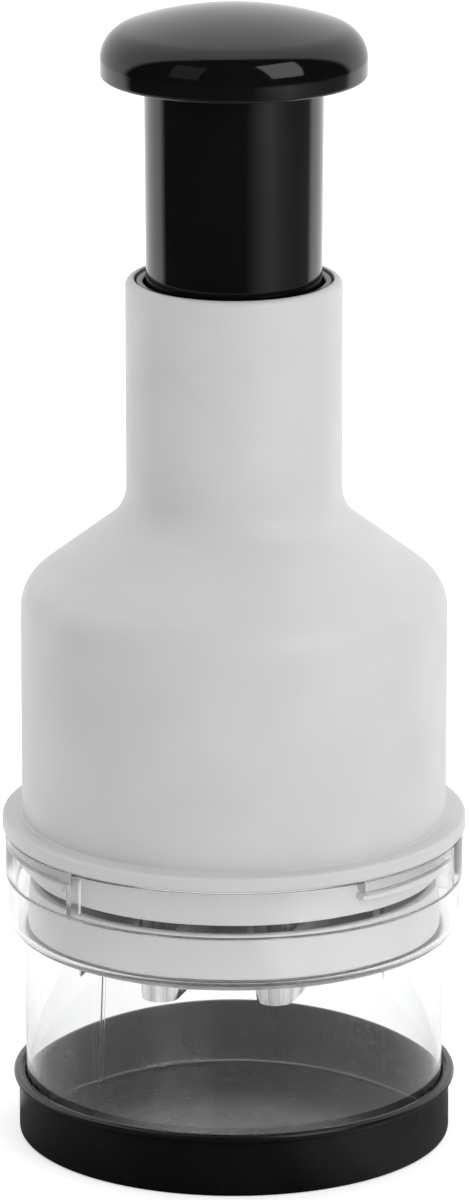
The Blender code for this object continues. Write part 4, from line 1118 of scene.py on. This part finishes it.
def area_light(name, place, aim, size, radiance, in_gloss):
    """A softbox of this brightness, where 1 is a white that it shines on or shows in."""
    data = bpy.data.lights.new(name, "AREA")
    data.shape = "RECTANGLE"
    data.size, data.size_y = size
    data.energy = radiance * pi * size[0] * size[1]
    obj = bpy.data.objects.new(name, data)
    obj.location = place
    obj.rotation_euler = (Vector(aim) - Vector(place)).to_track_quat("-Z", "Y").to_euler()
    obj.visible_camera = False
    obj.visible_glossy = in_gloss
    bpy.context.scene.collection.objects.link(obj)


def floor_lift(nodes, links, path, gloss, back):
    """Glow that keeps the floor white to the camera, in gloss from behind, and in glass."""
    shiny = math_node(nodes, links, "MULTIPLY", gloss, back)
    direct = math_node(nodes, links, "MAXIMUM", path.outputs["Is Camera Ray"], shiny)
    lift = math_node(nodes, links, "MULTIPLY", direct, FLOOR_LIFT)
    bounced = math_node(nodes, links, "MINIMUM", path.outputs["Diffuse Depth"], 1.0)
    lifts = (FLOOR_LIFT_IN_GLASS, FLOOR_LIFT_IN_GLASS + FLOOR_LIFT_BEHIND_GLASS)
    in_glass = spread(nodes, links, bounced, 0.0, 1.0, *lifts)
    in_glass = math_node(nodes, links, "MULTIPLY", path.outputs["Is Transmission Ray"], in_glass)
    return math_node(nodes, links, "MAXIMUM", lift, in_glass)


def floor_in_gloss(nodes, links, right, way, reach, back):
    """The floor's tone as gloss sees it: dark in front, lighter near the part but with a painted
    shadow right at its foot, one soft glow.
    """
    off_glow = math_node(nodes, links, "DIVIDE", right, reach)
    off_glow = math_node(nodes, links, "SUBTRACT", off_glow, FLOOR_GLOW_WAY)
    off_glow = math_node(nodes, links, "ABSOLUTE", off_glow)
    glow = spread(nodes, links, off_glow, 0.0, FLOOR_GLOW_WIDTH, FLOOR_GLOW, 0.0)
    near = spread(nodes, links, way, *FLOOR_NEAR_WAY, *FLOOR_NEAR_TONES)
    # Painted shadow: as gloss sees it, the floor darkens at the part's foot.
    painted_foot_shadow = spread(nodes, links, reach, *FLOOR_FOOT, FLOOR_FOOT_SHADOW_SHARE, 1.0)
    near = math_node(nodes, links, "MULTIPLY", near, painted_foot_shadow)
    near = math_node(nodes, links, "MAXIMUM", near, glow)
    far = spread(nodes, links, back, 0.0, 1.0, FLOOR_DARK, FLOOR_WHITE)
    far = math_node(nodes, links, "MAXIMUM", far, glow)
    far_share = spread(nodes, links, reach, *FLOOR_NEAR, 0.0, 1.0)
    near_share = math_node(nodes, links, "SUBTRACT", 1.0, far_share)
    near = math_node(nodes, links, "MULTIPLY", near_share, near)
    far = math_node(nodes, links, "MULTIPLY", far_share, far)
    return math_node(nodes, links, "ADD", near, far)


def floor_material():
    """White to the camera and through glass, with soft shadows, and toned as gloss sees it."""
    made, nodes, links = new_material("floor_white")
    shader = nodes["Principled BSDF"]
    shader.inputs["Roughness"].default_value = FLOOR_ROUGHNESS
    shader.inputs["Specular IOR Level"].default_value = 0.0
    shader.inputs["Emission Color"].default_value = (1, 1, 1, 1)
    path = nodes.new("ShaderNodeLightPath")
    place = object_place(nodes)
    split = nodes.new("ShaderNodeSeparateXYZ")
    links.new(place, split.inputs[0])
    reach = vector_node(nodes, links, "LENGTH", place).outputs["Value"]
    way = math_node(nodes, links, "DIVIDE", split.outputs["Y"], reach)
    back = spread(nodes, links, way, *FLOOR_BACK, 0.0, 1.0)
    clear = math_node(nodes, links, "SUBTRACT", 1.0, path.outputs["Is Transmission Ray"])
    gloss = math_node(nodes, links, "MULTIPLY", path.outputs["Is Glossy Ray"], clear)
    lift = floor_lift(nodes, links, path, gloss, back)
    links.new(lift, shader.inputs["Emission Strength"])
    in_gloss = floor_in_gloss(nodes, links, split.outputs["X"], way, reach, back)
    in_gloss = math_node(nodes, links, "MULTIPLY", gloss, in_gloss)
    plain_share = math_node(nodes, links, "SUBTRACT", 1.0, gloss)
    plain_tone = math_node(nodes, links, "MULTIPLY", plain_share, FLOOR_WHITE)
    tone = math_node(nodes, links, "ADD", plain_tone, in_gloss)
    links.new(tone, shader.inputs["Base Color"])
    return made


def studio_world():
    """A white room to the camera, through glass and behind, and dim in front as gloss sees it."""
    world = bpy.data.worlds.new("studio")
    world.use_nodes = True
    nodes, links = world.node_tree.nodes, world.node_tree.links
    path = nodes.new("ShaderNodeLightPath")
    turned_back = nodes.new("ShaderNodeMapping")
    turned_back.inputs["Rotation"].default_value = (0, 0, -radians(ROOM_TURN))
    generated = nodes.new("ShaderNodeTexCoord").outputs["Generated"]
    links.new(generated, turned_back.inputs["Vector"])
    way = nodes.new("ShaderNodeSeparateXYZ")
    links.new(turned_back.outputs["Vector"], way.inputs[0])
    lean = math_node(nodes, links, "MULTIPLY", way.outputs["Z"], ROOM_LEAN)
    side = math_node(nodes, links, "ADD", way.outputs["Y"], lean)
    room = spread(nodes, links, side, *ROOM_EDGE, ROOM_DIM, 1.0)
    ambient = spread(nodes, links, way.outputs["Y"], *AMBIENT_WAY, AMBIENT_FRONT, AMBIENT_BACK)
    gloss = path.outputs["Is Glossy Ray"]
    dull = math_node(nodes, links, "SUBTRACT", 1.0, gloss)
    ambient = math_node(nodes, links, "MULTIPLY", dull, ambient)
    room = math_node(nodes, links, "MULTIPLY", gloss, room)
    lit = math_node(nodes, links, "ADD", ambient, room)
    white_to = (path.outputs["Is Camera Ray"], path.outputs["Is Transmission Ray"])
    white = math_node(nodes, links, "MAXIMUM", *white_to)
    strength = math_node(nodes, links, "MAXIMUM", lit, white)
    links.new(strength, nodes["Background"].inputs["Strength"])
    nodes["Background"].inputs["Color"].default_value = (1, 1, 1, 1)
    bpy.context.scene.world = world


def studio():
    corners = [(0, -FLOOR_DEPTH), (FLOOR_RADIUS, -FLOOR_DEPTH), (FLOOR_RADIUS, 0), (0, 0)]
    floor = turned("floor", corners, FLOOR_STEPS)
    floor.data.materials.append(floor_material())
    floor.rotation_euler = (0, 0, radians(ROOM_TURN))
    studio_world()
    for lamp in LAMPS:
        area_light(*lamp)


def camera():
    data = bpy.data.cameras.new("camera")
    data.sensor_fit = "VERTICAL"
    data.sensor_height = SENSOR_HEIGHT
    data.lens = CAMERA_LENS
    data.clip_end = CLIP_END
    obj = bpy.data.objects.new("camera", data)
    obj.location = CAMERA_PLACE
    obj.rotation_euler = (radians(90 - CAMERA_DIP), 0, 0)
    bpy.context.scene.collection.objects.link(obj)
    bpy.context.scene.camera = obj
    bpy.context.scene.view_settings.view_transform = "Standard"


dress(finishes())
studio()
camera()
